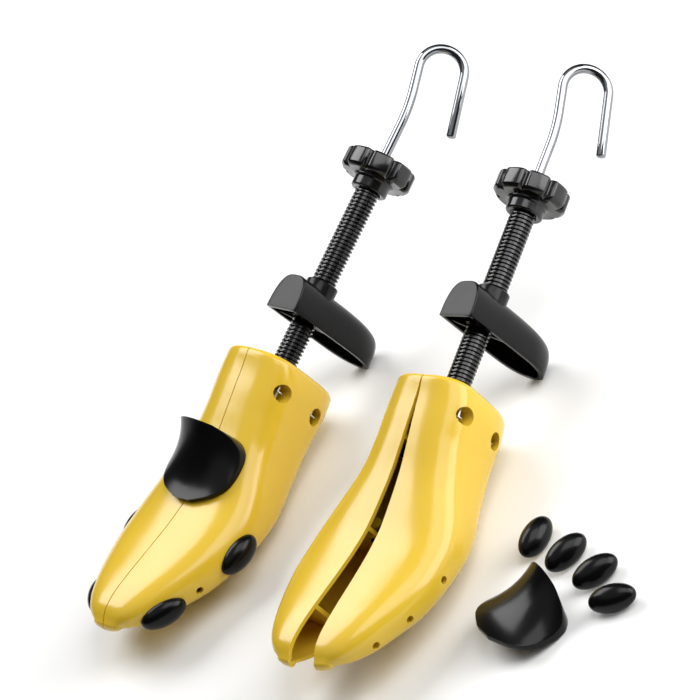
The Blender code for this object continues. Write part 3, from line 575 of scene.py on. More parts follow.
def table_value(table, place, column):
    """Read a column of a table at a place, on a smooth curve through its rows."""
    rows = len(table)
    index = 0
    while index < rows - 2 and place > table[index + 1][0]:
        index += 1
    low, high = table[index], table[index + 1]
    before = table[max(index - 1, 0)]
    after = table[min(index + 2, rows - 1)]
    span = high[0] - low[0]
    share = (place - low[0]) / span
    rise = high[column] - low[column]
    slope_low = (high[column] - before[column]) / (high[0] - before[0]) * span
    slope_high = (after[column] - low[column]) / (after[0] - low[0]) * span
    square = share * share
    cube = square * share
    bend = slope_low * (cube - 2 * square + share) + slope_high * (cube - square)
    return low[column] + rise * (3 * square - 2 * cube) + bend


def between(pair, share):
    """Give the value at a share of the way from the first of a pair to the second."""
    return pair[0] + (pair[1] - pair[0]) * share


def body_section(along, inset):
    """Give top, bottom, half width and centre height of the body at a share of its length."""
    top = table_value(STATION_SHARES, along, 1) * BACK_HEIGHT - inset
    bottom = table_value(STATION_SHARES, along, 2) * BACK_HEIGHT + inset
    half = table_value(STATION_SHARES, along, 3) * BALL_HALF_WIDTH - inset
    return top, bottom, half, bottom + between(CENTRE_SHARES, along) * (top - bottom)


def body_point(along, turn, inset=0.0, shrink=1.0):
    """Give a surface point; turn runs from 0 on the ridge through a half turn on the sole."""
    top, bottom, half, centre = body_section(along, inset)
    sideways = math.sin(turn)
    upwards = math.cos(turn)
    power = between(UPPER_POWER_SHARES if upwards > 0 else LOWER_POWER_SHARES, along)
    x = math.copysign(abs(sideways) ** power, sideways) * half
    reach = top - centre if upwards > 0 else centre - bottom
    z = centre + math.copysign(abs(upwards) ** power, upwards) * reach * shrink
    return Vector((x * shrink, -along * BODY_LENGTH, z))


def ridge_height(x, y):
    """Give the height of the instep surface over a place in the stretcher's own frame."""
    along = -y / BODY_LENGTH
    top, _, half, centre = body_section(along, 0.0)
    power = between(UPPER_POWER_SHARES, along)
    side = min(abs(x) / half, 1.0) ** (2 / power)
    return centre + (top - centre) * (1 - side) ** (power / 2)


def body_rings(inset, steps):
    """List (along, pull, shrink, reach) from the middle of the back face to that of the toe."""
    rings = [(inset / BODY_LENGTH, inset + BACK_EDGE_RADIUS, step / FACE_RINGS, 0.0)
             for step in range(FACE_RINGS)]
    for step in range(EDGE_RINGS):
        angle = math.radians(90) * step / EDGE_RINGS
        pull = BACK_EDGE_RADIUS * (1 - math.sin(angle))
        along = (inset + BACK_EDGE_RADIUS * (1 - math.cos(angle))) / BODY_LENGTH
        rings.append((along, inset + pull, 1.0, 0.0))
    start = (inset + BACK_EDGE_RADIUS) / BODY_LENGTH
    for step in range(steps + 1):
        rings.append((start + (1 - start) * step / steps, inset, 1.0, 0.0))
    for step in range(1, CAP_RINGS + 1):
        angle = math.radians(90) * step / CAP_RINGS
        rings.append((1.0, inset, math.cos(angle), (TOE_CAP - inset) * math.sin(angle)))
    return rings


def whole_body(name, inset, columns=64, rows=60):
    """Lay a closed grid on the whole body."""
    rings = body_rings(inset, rows)

    def place(across, along):
        ring_along, pull, shrink, reach = rings[int(round(along * (len(rings) - 1)))]
        point = body_point(ring_along, math.tau * across, pull, shrink)
        point.y -= reach
        return point

    return tidy(mapped_grid(name, columns, len(rings) - 1, place))


def hole_frame(index):
    """Give the frame of a peg hole on the right flank: tangent, upright, outward normal."""
    along = HOLE_SHARES[index]
    step = WALL / BODY_LENGTH
    quarter = math.radians(90)
    place = body_point(along, quarter)
    tangent = (body_point(along + step, quarter) - body_point(along - step, quarter)).normalized()
    upright = body_point(along, quarter - step) - body_point(along, quarter + step)
    normal = upright.cross(tangent).normalized()
    if normal.x < 0:
        normal = -normal
    upright = normal.cross(tangent).normalized()
    turn = Matrix((tangent, upright, normal)).transposed().to_4x4()
    return Matrix.Translation(place) @ turn


def wedge_slope():
    """Give the rise of the wedge's flanks over its length."""
    return -NOSE_Y * math.sin(math.radians(MAX_SPREAD_DEGREES)) / WEDGE_TRAVEL


def nose_inner_x():
    """Give the place of the spreading noses' tips."""
    slope = wedge_slope()
    at_nose = WEDGE_TIP_HALF_WIDTH + (WEDGE_TIP_Y - NOSE_Y) * slope
    return at_nose + NOSE_RADIUS * (math.sqrt(1 + slope * slope) - 1) + SEAT_GAP


def arc_points(start, heading, radius, degrees, steps):
    """Walk an arc in a plane; positive degrees turn towards +first axis."""
    side = math.copysign(1.0, degrees)
    centre = (start[0] + side * radius * math.cos(heading),
              start[1] - side * radius * math.sin(heading))
    points = []
    for step in range(1, steps + 1):
        turned_by = heading + math.radians(degrees) * step / steps
        points.append((centre[0] - side * radius * math.cos(turned_by),
                       centre[1] + side * radius * math.sin(turned_by)))
    return points, heading + math.radians(degrees)


def hook_route(low_y):
    """List the hook rod's centreline as (sideways, y) points."""
    points = [(0.0, low_y), (0.0, HOOK_START_Y)]
    lean, heading = arc_points(points[-1], 0.0, HOOK_LEAN_RADIUS, -HOOK_LEAN_DEGREES, 12)
    points += lean
    last = points[-1]
    points.append((last[0] + HOOK_NECK * math.sin(heading),
                   last[1] + HOOK_NECK * math.cos(heading)))
    round_degrees = 180 + HOOK_LEAN_DEGREES - HOOK_SPLAY_DEGREES
    crook, heading = arc_points(points[-1], heading, HOOK_RADIUS, round_degrees, 40)
    points += crook
    last = points[-1]
    points.append((last[0] + HOOK_LEG * math.sin(heading),
                   last[1] + HOOK_LEG * math.cos(heading)))
    return points


def stretcher_frame(prefix):
    """Read a stretcher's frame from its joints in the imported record."""
    joints = {joint["name"]: joint for joint in frame["joints"]}
    hook = joints[f"{prefix}_hook_turn"]
    y_axis = -Vector(hook["axis"])
    z_axis = Vector(joints[f"{prefix}_right_hinge"]["axis"])
    x_axis = y_axis.cross(z_axis)
    turn = Matrix((x_axis, y_axis, z_axis)).transposed().to_4x4()
    return Matrix.Translation(hook["pos_m"]) @ turn


def half_frame(prefix, side):
    """Give the frame of one half, turned about its hinge by the rest spread."""
    spread = math.radians(MAX_SPREAD_DEGREES) * WEDGE_STEPS[prefix] / WEDGE_TRAVEL
    sign = 1 if side == "right" else -1
    return stretcher_frame(prefix) @ Matrix.Rotation(sign * spread, 4, "Z")


# Materials

def add(tree, kind, settings=None, values=None, links=None):
    """Add a node with its settings, socket values and incoming links."""
    node = tree.nodes.new(kind)
    for key, value in (settings or {}).items():
        setattr(node, key, value)
    for key, value in (values or {}).items():
        node.inputs[key].default_value = value
    for key, socket in (links or {}).items():
        tree.links.new(socket, node.inputs[key])
    return node


def new_material(name, values):
    """Make a material and give its tree, shader and object coordinates."""
    old = bpy.data.materials.get(name)
    if old:
        bpy.data.materials.remove(old)
    material = bpy.data.materials.new(name)
    material.use_nodes = True
    tree = material.node_tree
    shader = tree.nodes["Principled BSDF"]
    for key, value in values.items():
        shader.inputs[key].default_value = value
    place = add(tree, "ShaderNodeTexCoord").outputs["Object"]
    return material, tree, shader, place


def moulded_abs(name, colour, deep, roughness, gloss):
    """ABS, moulded in a polished tool: even colour, soft orange peel, clear reflections."""
    material, tree, shader, place = new_material(name, {"IOR": 1.54, "Specular IOR Level": gloss})
    # flow of the melt, about 45 mm across
    flow = add(tree, "ShaderNodeTexNoise", values={"Scale": 22.0, "Detail": 2.0, "Distortion": 0.6},
               links={"Vector": place})
    mix = add(tree, "ShaderNodeMix", {"data_type": "RGBA"}, {"A": colour, "B": deep},
              {"Factor": flow.outputs["Fac"]})
    tree.links.new(mix.outputs["Result"], shader.inputs["Base Color"])
    # handling haze, about 12 mm across
    haze = add(tree, "ShaderNodeTexNoise", values={"Scale": 80.0, "Detail": 4.0},
               links={"Vector": place})
    spread = add(tree, "ShaderNodeMapRange",
                 values={"From Min": 0.35, "From Max": 0.75, "To Min": roughness,
                         "To Max": roughness + 0.06}, links={"Value": haze.outputs["Fac"]})
    tree.links.new(spread.outputs["Result"], shader.inputs["Roughness"])
    # orange peel, about 2.5 mm across and 0.02 mm high
    peel = add(tree, "ShaderNodeTexNoise", values={"Scale": 400.0, "Detail": 1.0},
               links={"Vector": place})
    bump = add(tree, "ShaderNodeBump", values={"Strength": 0.06, "Distance": 0.0004},
               links={"Height": peel.outputs["Fac"]})
    tree.links.new(bump.outputs["Normal"], shader.inputs["Normal"])
    return material


def plated_steel(name, colour, roughness, streak):
    """Steel wire, drawn and bright plated: near mirror, with faint lines along the draw."""
    material, tree, shader, place = new_material(name, {"Metallic": 1.0, "Base Color": colour})
    # draw lines about 0.7 mm apart, stretched 25 times along the Y direction
    stretch = add(tree, "ShaderNodeMapping", values={"Scale": (1.0, 0.04, 1.0)},
                  links={"Vector": place})
    lines = add(tree, "ShaderNodeTexNoise", values={"Scale": 1500.0, "Detail": 2.0},
                links={"Vector": stretch.outputs["Vector"]})
    spread = add(tree, "ShaderNodeMapRange",
                 values={"To Min": roughness, "To Max": roughness + streak},
                 links={"Value": lines.outputs["Fac"]})
    tree.links.new(spread.outputs["Result"], shader.inputs["Roughness"])
    bump = add(tree, "ShaderNodeBump", values={"Strength": 0.04, "Distance": 0.0001},
               links={"Height": lines.outputs["Fac"]})
    tree.links.new(bump.outputs["Normal"], shader.inputs["Normal"])
    return material


def finish_material(kind):
    """Make or find one of the object's materials."""
    looks = bpy.context.scene.stretcher_finish
    found = bpy.data.materials.get(kind)
    if found:
        return found
    if kind == "abs_moulded_yellow":
        return moulded_abs(kind, tuple(looks.shell_colour), linear("D9B22E"),
                           looks.shell_roughness, 0.46)
    if kind == "abs_moulded_black":
        return moulded_abs(kind, tuple(looks.trim_colour), linear("070708"),
                           looks.trim_roughness, 0.18)
    # the turned and threaded pieces have a brighter skin than the heels and pads
    if kind == "abs_polished_black":
        return moulded_abs(kind, tuple(looks.trim_colour), linear("070708"),
                           looks.trim_roughness - 0.04, 0.48)
    if kind == "steel_chrome_plated":
        return plated_steel(kind, linear("929497"), 0.04, 0.03)
    if kind == "steel_zinc_plated":
        return plated_steel(kind, linear("C9CBCD"), 0.22, 0.12)
    return plated_steel(kind, linear("4A4B50"), 0.30, 0.15)


# Pieces

class STRETCHER_OT_shells(bpy.types.Operator):
    """Model the moulded halves with their walls, ribs, bosses and holes"""

    bl_idname = "stretcher.shells"
    bl_label = "Moulded Halves"

    def ribs(self):
        """Make the three cross ribs of the right half, cut for the block and wedge."""
        made = []
        for middle in WEB_PLACES:
            along = -middle / BODY_LENGTH

            def place(across, out):
                point = body_point(along, math.pi * across, WALL * 0.6)
                centre = body_section(along, 0.0)[3]
                return Vector((max(point.x * out, SEAM_HALF_GAP), point.y,
                               centre + (point.z - centre) * out))

            rib = mapped_grid("rib", 32, 8, place)
            modify(rib, "SOLIDIFY", thickness=WEB, offset=0.0)
            tidy(rib)
            made.append(rib)
        half = BLOCK_WIDTH / 2 + SEAT_GAP
        cut(made[0], block("pocket", (-half, WEB_PLACES[0] - WEB, -half),
                           (half, WEB_PLACES[0] + WEB, half)))
        reach = nose_inner_x() + NOSE_RADIUS + SEAT_GAP
        rise = WEDGE_HEIGHT / 2 + RUN_GAP * 2
        cut(made[1], block("passage", (-reach, WEB_PLACES[1] - WEB, -rise),
                           (reach, WEB_PLACES[1] + WEB, rise)))
        return made

    def chamfer_seam(self, shell, width):
        """Chamfer the outer edge of the parting face."""
        activate(shell)
        bpy.ops.object.mode_set(mode="EDIT")
        bpy.ops.mesh.select_mode(type="EDGE")
        bpy.ops.mesh.select_all(action="DESELECT")
        bpy.ops.object.mode_set(mode="OBJECT")
        mesh = shell.data
        for edge in mesh.edges:
            ends = [mesh.vertices[index].co for index in edge.vertices]
            if max(abs(end.x - SEAM_HALF_GAP) for end in ends) > MERGE_DISTANCE:
                continue
            middle = (ends[0] + ends[1]) / 2
            along = -middle.y / BODY_LENGTH
            if along < WALL / 2 / BODY_LENGTH or along > 1.0:
                edge.select = True
                continue
            top, bottom, _, _ = body_section(along, WALL / 2)
            edge.select = middle.z > top or middle.z < bottom
        bpy.ops.object.mode_set(mode="EDIT")
        bpy.ops.mesh.bevel(offset=width, segments=1, affect="EDGES", clamp_overlap=True)
        bpy.ops.mesh.select_mode(type="VERT")
        bpy.ops.object.mode_set(mode="OBJECT")

    def right_half(self):
        """Model the right half."""
        form = bpy.context.scene.stretcher_form
        shell = whole_body("shell", 0.0, form.shell_columns * 2, form.shell_rows)
        cut(shell, whole_body("hollow", WALL, form.shell_columns, form.shell_rows // 2))
        cut(shell, block("side", (SEAM_HALF_GAP, -BODY_LENGTH - OVERRUN, -BACK_HEIGHT),
                         (BACK_HEIGHT, OVERRUN, BACK_HEIGHT)), "INTERSECT")
        self.chamfer_seam(shell, form.seam_chamfer)
        cut(shell, rod("notch", (0.0, OVERRUN, 0.0), (0.0, WEB_PLACES[0] / 2, 0.0),
                       SPINDLE_RADIUS + RUN_GAP * 3, 64))
        for rib in self.ribs():
            cut(shell, rib, "UNION")
        for height in (SPRING_HEIGHT, -SPRING_HEIGHT):
            boss = rod("boss", (BOSS_INNER_X, SPRING_Y, height),
                       (BALL_HALF_WIDTH, SPRING_Y, height), BOSS_RADIUS)
            cut(boss, whole_body("limit", WALL / 2), "INTERSECT")
            cut(shell, boss, "UNION")
        tip = nose_inner_x()
        half = WEDGE_HEIGHT / 2 - SEAT_GAP
        arm = block("arm", (tip + NOSE_RADIUS, WEB_PLACES[1], -half),
                    (tip + NOSE_RADIUS + NOSE_DEPTH, NOSE_Y + NOSE_RADIUS * 0.8, half))
        cut(arm, rod("nose", (tip + NOSE_RADIUS, NOSE_Y, -half - SEAT_GAP),
                     (tip + NOSE_RADIUS, NOSE_Y, half + SEAT_GAP), NOSE_RADIUS), "UNION")
        cut(shell, arm, "UNION")
        for height in (SPRING_HEIGHT, -SPRING_HEIGHT):
            cut(shell, rod("bore", (0.0, SPRING_Y, height),
                           (BALL_HALF_WIDTH + OVERRUN, SPRING_Y, height), BORE_RADIUS, 56))
        for index in range(len(HOLE_SHARES)):
            pose = hole_frame(index)
            cut(shell, rod("drill", pose @ Vector((0, 0, -WALL * 3)), pose @ Vector((0, 0, WALL)),
                           PEG_RADIUS + SEAT_GAP, 32))
        return smooth(shell, 34)

    def execute(self, context):
        pattern = self.right_half()
        material = finish_material("abs_moulded_yellow")
        mirror = Matrix.Scale(-1, 4, (1.0, 0.0, 0.0))
        for prefix in ("a", "b"):
            for side, flip in (("right", Matrix.Identity(4)), ("left", mirror)):
                node = f"{prefix}_{side}_shell"
                shell = copied(pattern, f"{prefix}_{side}_moulded_half",
                               half_frame(prefix, side) @ flip)
                finished(shell, f"{prefix}_{side}_half", [node], material)
        discard(pattern)
        return {"FINISHED"}


class STRETCHER_OT_spindles(bpy.types.Operator):
    """Model the hollow threaded spindles with their thrust collars"""

    bl_idname = "stretcher.spindles"
    bl_label = "Threaded Spindles"

    def execute(self, context):
        depth = context.scene.stretcher_form.thread_depth
        seat = BLOCK_FRONT_Y - RUN_GAP
        end = seat - COLLAR_LENGTH
        bar = threaded("bar", SPINDLE_RADIUS - depth, SPINDLE_RADIUS, SPINDLE_PITCH, 1,
                       seat - THREAD_OVERLAP, SPINDLE_TOP_Y, 40)
        shoulder = COLLAR_RADIUS - COLLAR_EDGE
        collar = turned("collar", [(SPINDLE_BORE, seat), (shoulder, seat),
                                   (COLLAR_RADIUS, seat - COLLAR_EDGE),
                                   (COLLAR_RADIUS, end + COLLAR_EDGE),
                                   (shoulder, end), (SPINDLE_BORE, end)])
        cut(bar, rod("bore", (0.0, end - OVERRUN, 0.0), (0.0, SPINDLE_TOP_Y + OVERRUN, 0.0),
                     SPINDLE_BORE, 32))
        spindle = smooth(join([bar, collar], "spindle"), 38)
        material = finish_material("abs_polished_black")
        for prefix in ("a", "b"):
            piece = copied(spindle, f"{prefix}_threaded_spindle", stretcher_frame(prefix))
            finished(piece, f"{prefix}_length_screw", [f"{prefix}_spindle"], material)
        discard(spindle)
        return {"FINISHED"}


class STRETCHER_OT_knobs(bpy.types.Operator):
    """Model the lobed length knobs with their hubs"""

    bl_idname = "stretcher.knobs"
    bl_label = "Length Knobs"

    def execute(self, context):
        flange = HUB_RADIUS + HUB_FLANGE
        top = KNOB_UNDERSIDE_Y + KNOB_THICKNESS
        under = KNOB_UNDERSIDE_Y
        bottom = under - HUB_LENGTH
        inner = ROD_RADIUS + RUN_GAP
        socket = SPINDLE_RADIUS + SEAT_GAP
        seat = SPINDLE_TOP_Y + SEAT_GAP
        # radius, height and whether the lobes reach that row
        rows = [(inner, top, 0), (KNOB_RADIUS * KNOB_DISH_SHARE, top, 0),
                (KNOB_RADIUS - KNOB_TOP_CHAMFER - KNOB_MARGIN, top, 1),
                (KNOB_RADIUS - KNOB_TOP_CHAMFER, top, 1),
                (KNOB_RADIUS, top - KNOB_TOP_CHAMFER, 1),
                (KNOB_RADIUS, under + KNOB_UNDER_CHAMFER, 1),
                (KNOB_RADIUS - KNOB_UNDER_CHAMFER, under, 1),
                (KNOB_RADIUS - KNOB_UNDER_CHAMFER - KNOB_MARGIN, under, 1),
                (flange, under, 0), (flange, under - HUB_EDGE, 0),
                (HUB_RADIUS, under - HUB_STEP, 0), (HUB_RADIUS, bottom + HUB_EDGE, 0),
                (HUB_RADIUS - HUB_EDGE, bottom, 0), (socket, bottom, 0),
                (socket, seat, 0), (inner, seat, 0), (inner, top, 0)]

        def place(across, along):
            reach, y, lobed = rows[int(round(along * (len(rows) - 1)))]
            turn = math.tau * across
            wave = (1 - math.cos(turn * KNOB_LOBES)) / 2
            radius = reach - KNOB_DEPTH * wave ** KNOB_NOTCH_POWER * lobed
            return Vector((radius * math.cos(turn), y, radius * math.sin(turn)))

        knob = tidy(mapped_grid("knob", KNOB_LOBES * KNOB_LOBE_COLUMNS, len(rows) - 1, place))
        modify(knob, "BEVEL", width=KNOB_EDGE, segments=2, limit_method="ANGLE",
               angle_limit=math.radians(36))
        smooth(knob, 30)
        material = finish_material("abs_polished_black")
        for prefix in ("a", "b"):
            piece = copied(knob, f"{prefix}_lobed_knob", stretcher_frame(prefix))
            finished(piece, f"{prefix}_length_screw", [f"{prefix}_length_knob"], material)
        discard(knob)
        return {"FINISHED"}


class STRETCHER_OT_hooks(bpy.types.Operator):
    """Model the plated hook rods with their threaded inner ends and the clips"""

    bl_idname = "stretcher.hooks"
    bl_label = "Hook Rods"

    def execute(self, context):
        tilt = math.radians(HOOK_PLANE_DEGREES)
        points = [(sideways * math.cos(tilt), y, -sideways * math.sin(tilt))
                  for sideways, y in hook_route(ROD_THREAD_Y)]
        bar = tube("bar", points, ROD_RADIUS, 9, 5)
        thread = threaded("thread", ROD_RADIUS - ROD_THREAD_DEPTH, ROD_RADIUS, ROD_LEAD,
                          ROD_STARTS, ROD_END_Y, ROD_THREAD_Y + THREAD_OVERLAP, 28)
        hook = smooth(join([bar, thread], "hook"), 40)
        top = BLOCK_FRONT_Y - RUN_GAP * 2 - COLLAR_LENGTH
        inner = ROD_RADIUS + SEAT_GAP
        low = top - CLIP_LENGTH
        rim = CLIP_RADIUS - CLIP_EDGE
        clip = turned("clip", [(inner, top), (rim, top), (CLIP_RADIUS, top - CLIP_EDGE),
                               (CLIP_RADIUS, low + CLIP_EDGE), (rim, low), (inner, low)])
        cut(clip, block("gap", (-CLIP_RADIUS, low - CLIP_EDGE, -CLIP_RADIUS * 2),
                        (CLIP_RADIUS, top + CLIP_EDGE, -ROD_RADIUS * 1.02)))
        smooth(clip, 30)
        chrome = finish_material("steel_chrome_plated")
        blued = finish_material("steel_blued")
        for prefix in ("a", "b"):
            place = stretcher_frame(prefix)
            finished(copied(hook, f"{prefix}_plated_hook", place), f"{prefix}_hook",
                     [f"{prefix}_hook_rod"], chrome)
            finished(copied(clip, f"{prefix}_clip", place), f"{prefix}_hook",
                     [f"{prefix}_rod_clip"], blued)
        discard(hook, clip)
        return {"FINISHED"}


class STRETCHER_OT_heels(bpy.types.Operator):
    """Model the hollow heel pieces with their rims, ribs and collars"""

    bl_idname = "stretcher.heels"
    bl_label = "Heel Pieces"

    def form(self, name, inset, reach, fillet, columns=60, rows=56):
        """Lay a closed grid on the heel piece, drawn in by an inset, its flat face at -reach."""
        span = HEEL_TOP_Z - HEEL_TIP_Z - 2 * inset
        curved = columns - HEEL_FLAT_COLUMNS
        # share of the way down, with the shrink of an end face or the change of the fillet
        steps = [(0.0, share) for share in HEEL_TOP_SHARES]
        for step in range(HEEL_FILLET_STEPS + 1):
            angle = math.radians(90) * step / HEEL_FILLET_STEPS
            steps.append((fillet * (1 - math.cos(angle)) / span, fillet * (math.sin(angle) - 1)))
        start = fillet / span
        steps += [(start + (1 - start) * step / rows, 0.0) for step in range(1, rows + 1)]
        steps += [(1.0, share) for share in HEEL_TIP_SHARES]
        last = len(steps) - len(HEEL_TIP_SHARES)

        def place(across, along):
            row = int(round(along * (len(steps) - 1)))
            down, change = steps[row]
            half = HEEL_TOP_HALF_WIDTH * table_value(HEEL_STATION_SHARES, down, 1) - inset
            depth = HEEL_DEPTH * table_value(HEEL_STATION_SHARES, down, 2) - inset
            middle = depth / 3
            shrink = change if row < len(HEEL_TOP_SHARES) or row >= last else 1.0
            if shrink == 1.0:
                half += change
                depth += change
            column = int(round(across * columns))
            turn = math.pi * min(column / curved, 1.0)
            x = math.copysign(abs(math.cos(turn)) ** HEEL_ARCH_SHARE, -math.cos(turn)) * half
            y = max(math.sin(turn), 0.0) ** HEEL_ARCH_RISE_SHARE * depth
            if column >= curved:
                x = half * (1 - 2 * (column - curved) / HEEL_FLAT_COLUMNS)
                y = -reach
            elif column == 0:
                y = -reach
            if shrink < 1.0:
                x *= shrink
                y = middle + (y - middle) * shrink
            return Vector((x, y, HEEL_TOP_Z - inset - span * down))

        return tidy(mapped_grid(name, columns, len(steps) - 1, place))

    def execute(self, context):
        heel = self.form("heel", 0.0, 0.0, HEEL_FILLET)
        cut(heel, self.form("hollow", HEEL_WALL, OVERRUN, HEEL_INNER_FILLET))
        rib_reach = HEEL_TOP_Z * HEEL_RIB_REACH_SHARE
        for degrees in (HEEL_RIB_DEGREES, -HEEL_RIB_DEGREES):
            rib = block("rib", (-HEEL_RIB / 2, HEEL_RIB_START, -rib_reach),
                        (HEEL_RIB / 2, HEEL_DEPTH, rib_reach))
            rib.rotation_euler = (0.0, math.radians(degrees), 0.0)
            settle(rib)
            cut(rib, self.form("limit", HEEL_WALL / 2, 0.0, HEEL_INNER_FILLET), "INTERSECT")
            cut(heel, rib, "UNION")
        high = HEEL_DEPTH + HEEL_COLLAR_REACH
        collar = turned("collar", [(0.0, HEEL_COLLAR_START),
                                   (HEEL_COLLAR_RADIUS, HEEL_COLLAR_START),
                                   (HEEL_COLLAR_RADIUS, high - HEEL_INNER_FILLET),
                                   (HEEL_COLLAR_RADIUS - HEEL_INNER_FILLET, high),
                                   (0.0, high)], 64)
        cut(heel, collar, "UNION")
        cut(heel, rod("bore", (0.0, -OVERRUN, 0.0), (0.0, high + OVERRUN, 0.0),
                      SPINDLE_RADIUS + RUN_GAP, 64))
        modify(heel, "BEVEL", width=HEEL_EDGE, segments=2, limit_method="ANGLE",
               angle_limit=math.radians(62))
        smooth(heel, 32)
        material = finish_material("abs_moulded_black")
        for prefix in ("a", "b"):
            y, degrees = HEEL_PLACES[prefix]
            place = (stretcher_frame(prefix) @ Matrix.Translation((0.0, y, 0.0))
                     @ Matrix.Rotation(math.radians(-degrees), 4, "Y"))
            finished(copied(heel, f"{prefix}_hollow_heel", place), f"{prefix}_heel",
                     [f"{prefix}_heel_piece"], material)
        discard(heel)
        return {"FINISHED"}


class STRETCHER_OT_bumps(bpy.types.Operator):
    """Model the oval bumps, four fitted and four loose"""

    bl_idname = "stretcher.bumps"
    bl_label = "Oval Bumps"

    def bump(self, index):
        """Model one bump in its peg's frame, its underside shaped to the flank."""
        pose = hole_frame(index)
        deselect()
        bpy.ops.mesh.primitive_uv_sphere_add(segments=64, ring_count=32, radius=1.0)
        dome = named("dome")
        dome.scale = (BUMP_HALF_LENGTH, BUMP_HALF_WIDTH, BUMP_HEIGHT)
        settle(dome)
        dome.data.transform(pose)
        cut(dome, whole_body("seat", -SEAT_GAP))
        cut(dome, rod("peg", pose @ Vector((0, 0, BUMP_HEIGHT / 2)),
                      pose @ Vector((0, 0, -PEG_LENGTH)), PEG_RADIUS, 32), "UNION")
        dome.data.transform(pose.inverted())
        return smooth(dome, 40), pose

    def execute(self, context):
        material = finish_material("abs_moulded_black")
        mirror = Matrix.Scale(-1, 4, (1.0, 0.0, 0.0))
        forms = {}
        for index, name in ((0, "rear"), (2, "front")):
            form, pose = self.bump(index)
            forms[name] = form
            right = half_frame("a", "right") @ pose
            left = half_frame("a", "left") @ mirror @ pose
            for side, place in (("right", right), ("left", left)):
                node = f"a_{side}_{name}_bump"
                finished(copied(form, f"a_{side}_{name}_oval", place), node, [node], material)
        lean = math.atan2(PEG_LENGTH, BUMP_HALF_WIDTH)
        for number, (degrees, name) in enumerate(zip(LOOSE_BUMP_DEGREES,
                                                     ("rear", "rear", "front", "front")), 1):
            node = f"loose_bump_{number}"
            turn = Euler((lean, 0.0, math.radians(degrees))).to_matrix().to_4x4()
            piece = copied(forms[name], f"loose_oval_{number}", turn)
            lay_down(piece, node)
            finished(piece, node, [node], material)
        discard(*forms.values())
        return {"FINISHED"}


class STRETCHER_OT_instep_pads(bpy.types.Operator):
    """Model the saddle-shaped instep pads, one fitted and one loose"""

    bl_idname = "stretcher.instep_pads"
    bl_label = "Instep Pads"

    def execute(self, context):
        columns, rows = 36, 44
        deselect()
        bpy.ops.mesh.primitive_grid_add(x_subdivisions=columns, y_subdivisions=rows, size=2.0)
        pad = named("pad")
        bpy.ops.object.mode_set(mode="EDIT")
        bpy.ops.mesh.select_all(action="SELECT")
        bpy.ops.mesh.extrude_region_move(TRANSFORM_OT_translate={"value": (0.0, 0.0, 1.0)})
        bpy.ops.mesh.select_all(action="SELECT")
        bpy.ops.mesh.normals_make_consistent(inside=False)
        bpy.ops.object.mode_set(mode="OBJECT")
        for vertex in pad.data.vertices:
            across = vertex.co.x
            along = (1 - math.cos(math.pi * (vertex.co.y + 1) / 2)) / 2
            y = INSTEP_BACK_Y - along * INSTEP_LENGTH
            half = table_value(INSTEP_OUTLINE_SHARES, along, 1) * INSTEP_HALF_WIDTH
            share = (1 - along) ** INSTEP_FALL_POWER
            thick = between((INSTEP_FRONT_THICKNESS, INSTEP_BACK_THICKNESS), share)
            x = across * half
            z = ridge_height(x, y) + SEAT_GAP * 2
            if vertex.co.z > 0.5:
                power = between(INSTEP_ARCH_POWERS, along)
                arch = max(1 - (x / (INSTEP_HALF_WIDTH + INSTEP_EDGE)) ** 2, 0.0) ** power
                rise = INSTEP_EDGE + (thick - INSTEP_EDGE) * arch
                y -= rise * INSTEP_LEAN_SHARE
                z += rise
            vertex.co = (x, y, z)
        tidy(pad)
        modify(pad, "BEVEL", width=INSTEP_ROUNDING, segments=2, limit_method="ANGLE",
               angle_limit=math.radians(38))
        smooth(pad, 40)
        material = finish_material("abs_moulded_black")
        finished(copied(pad, "a_saddle_pad", stretcher_frame("a")), "a_instep", ["a_instep_pad"],
                 material)
        turn = Euler((math.radians(LOOSE_PAD_PITCH_DEGREES), 0.0,
                      math.radians(LOOSE_PAD_DEGREES))).to_matrix().to_4x4()
        loose = copied(pad, "loose_saddle_pad", turn)
        lay_down(loose, "loose_instep_pad")
        finished(loose, "loose_instep", ["loose_instep_pad"], material)
        discard(pad)
        return {"FINISHED"}


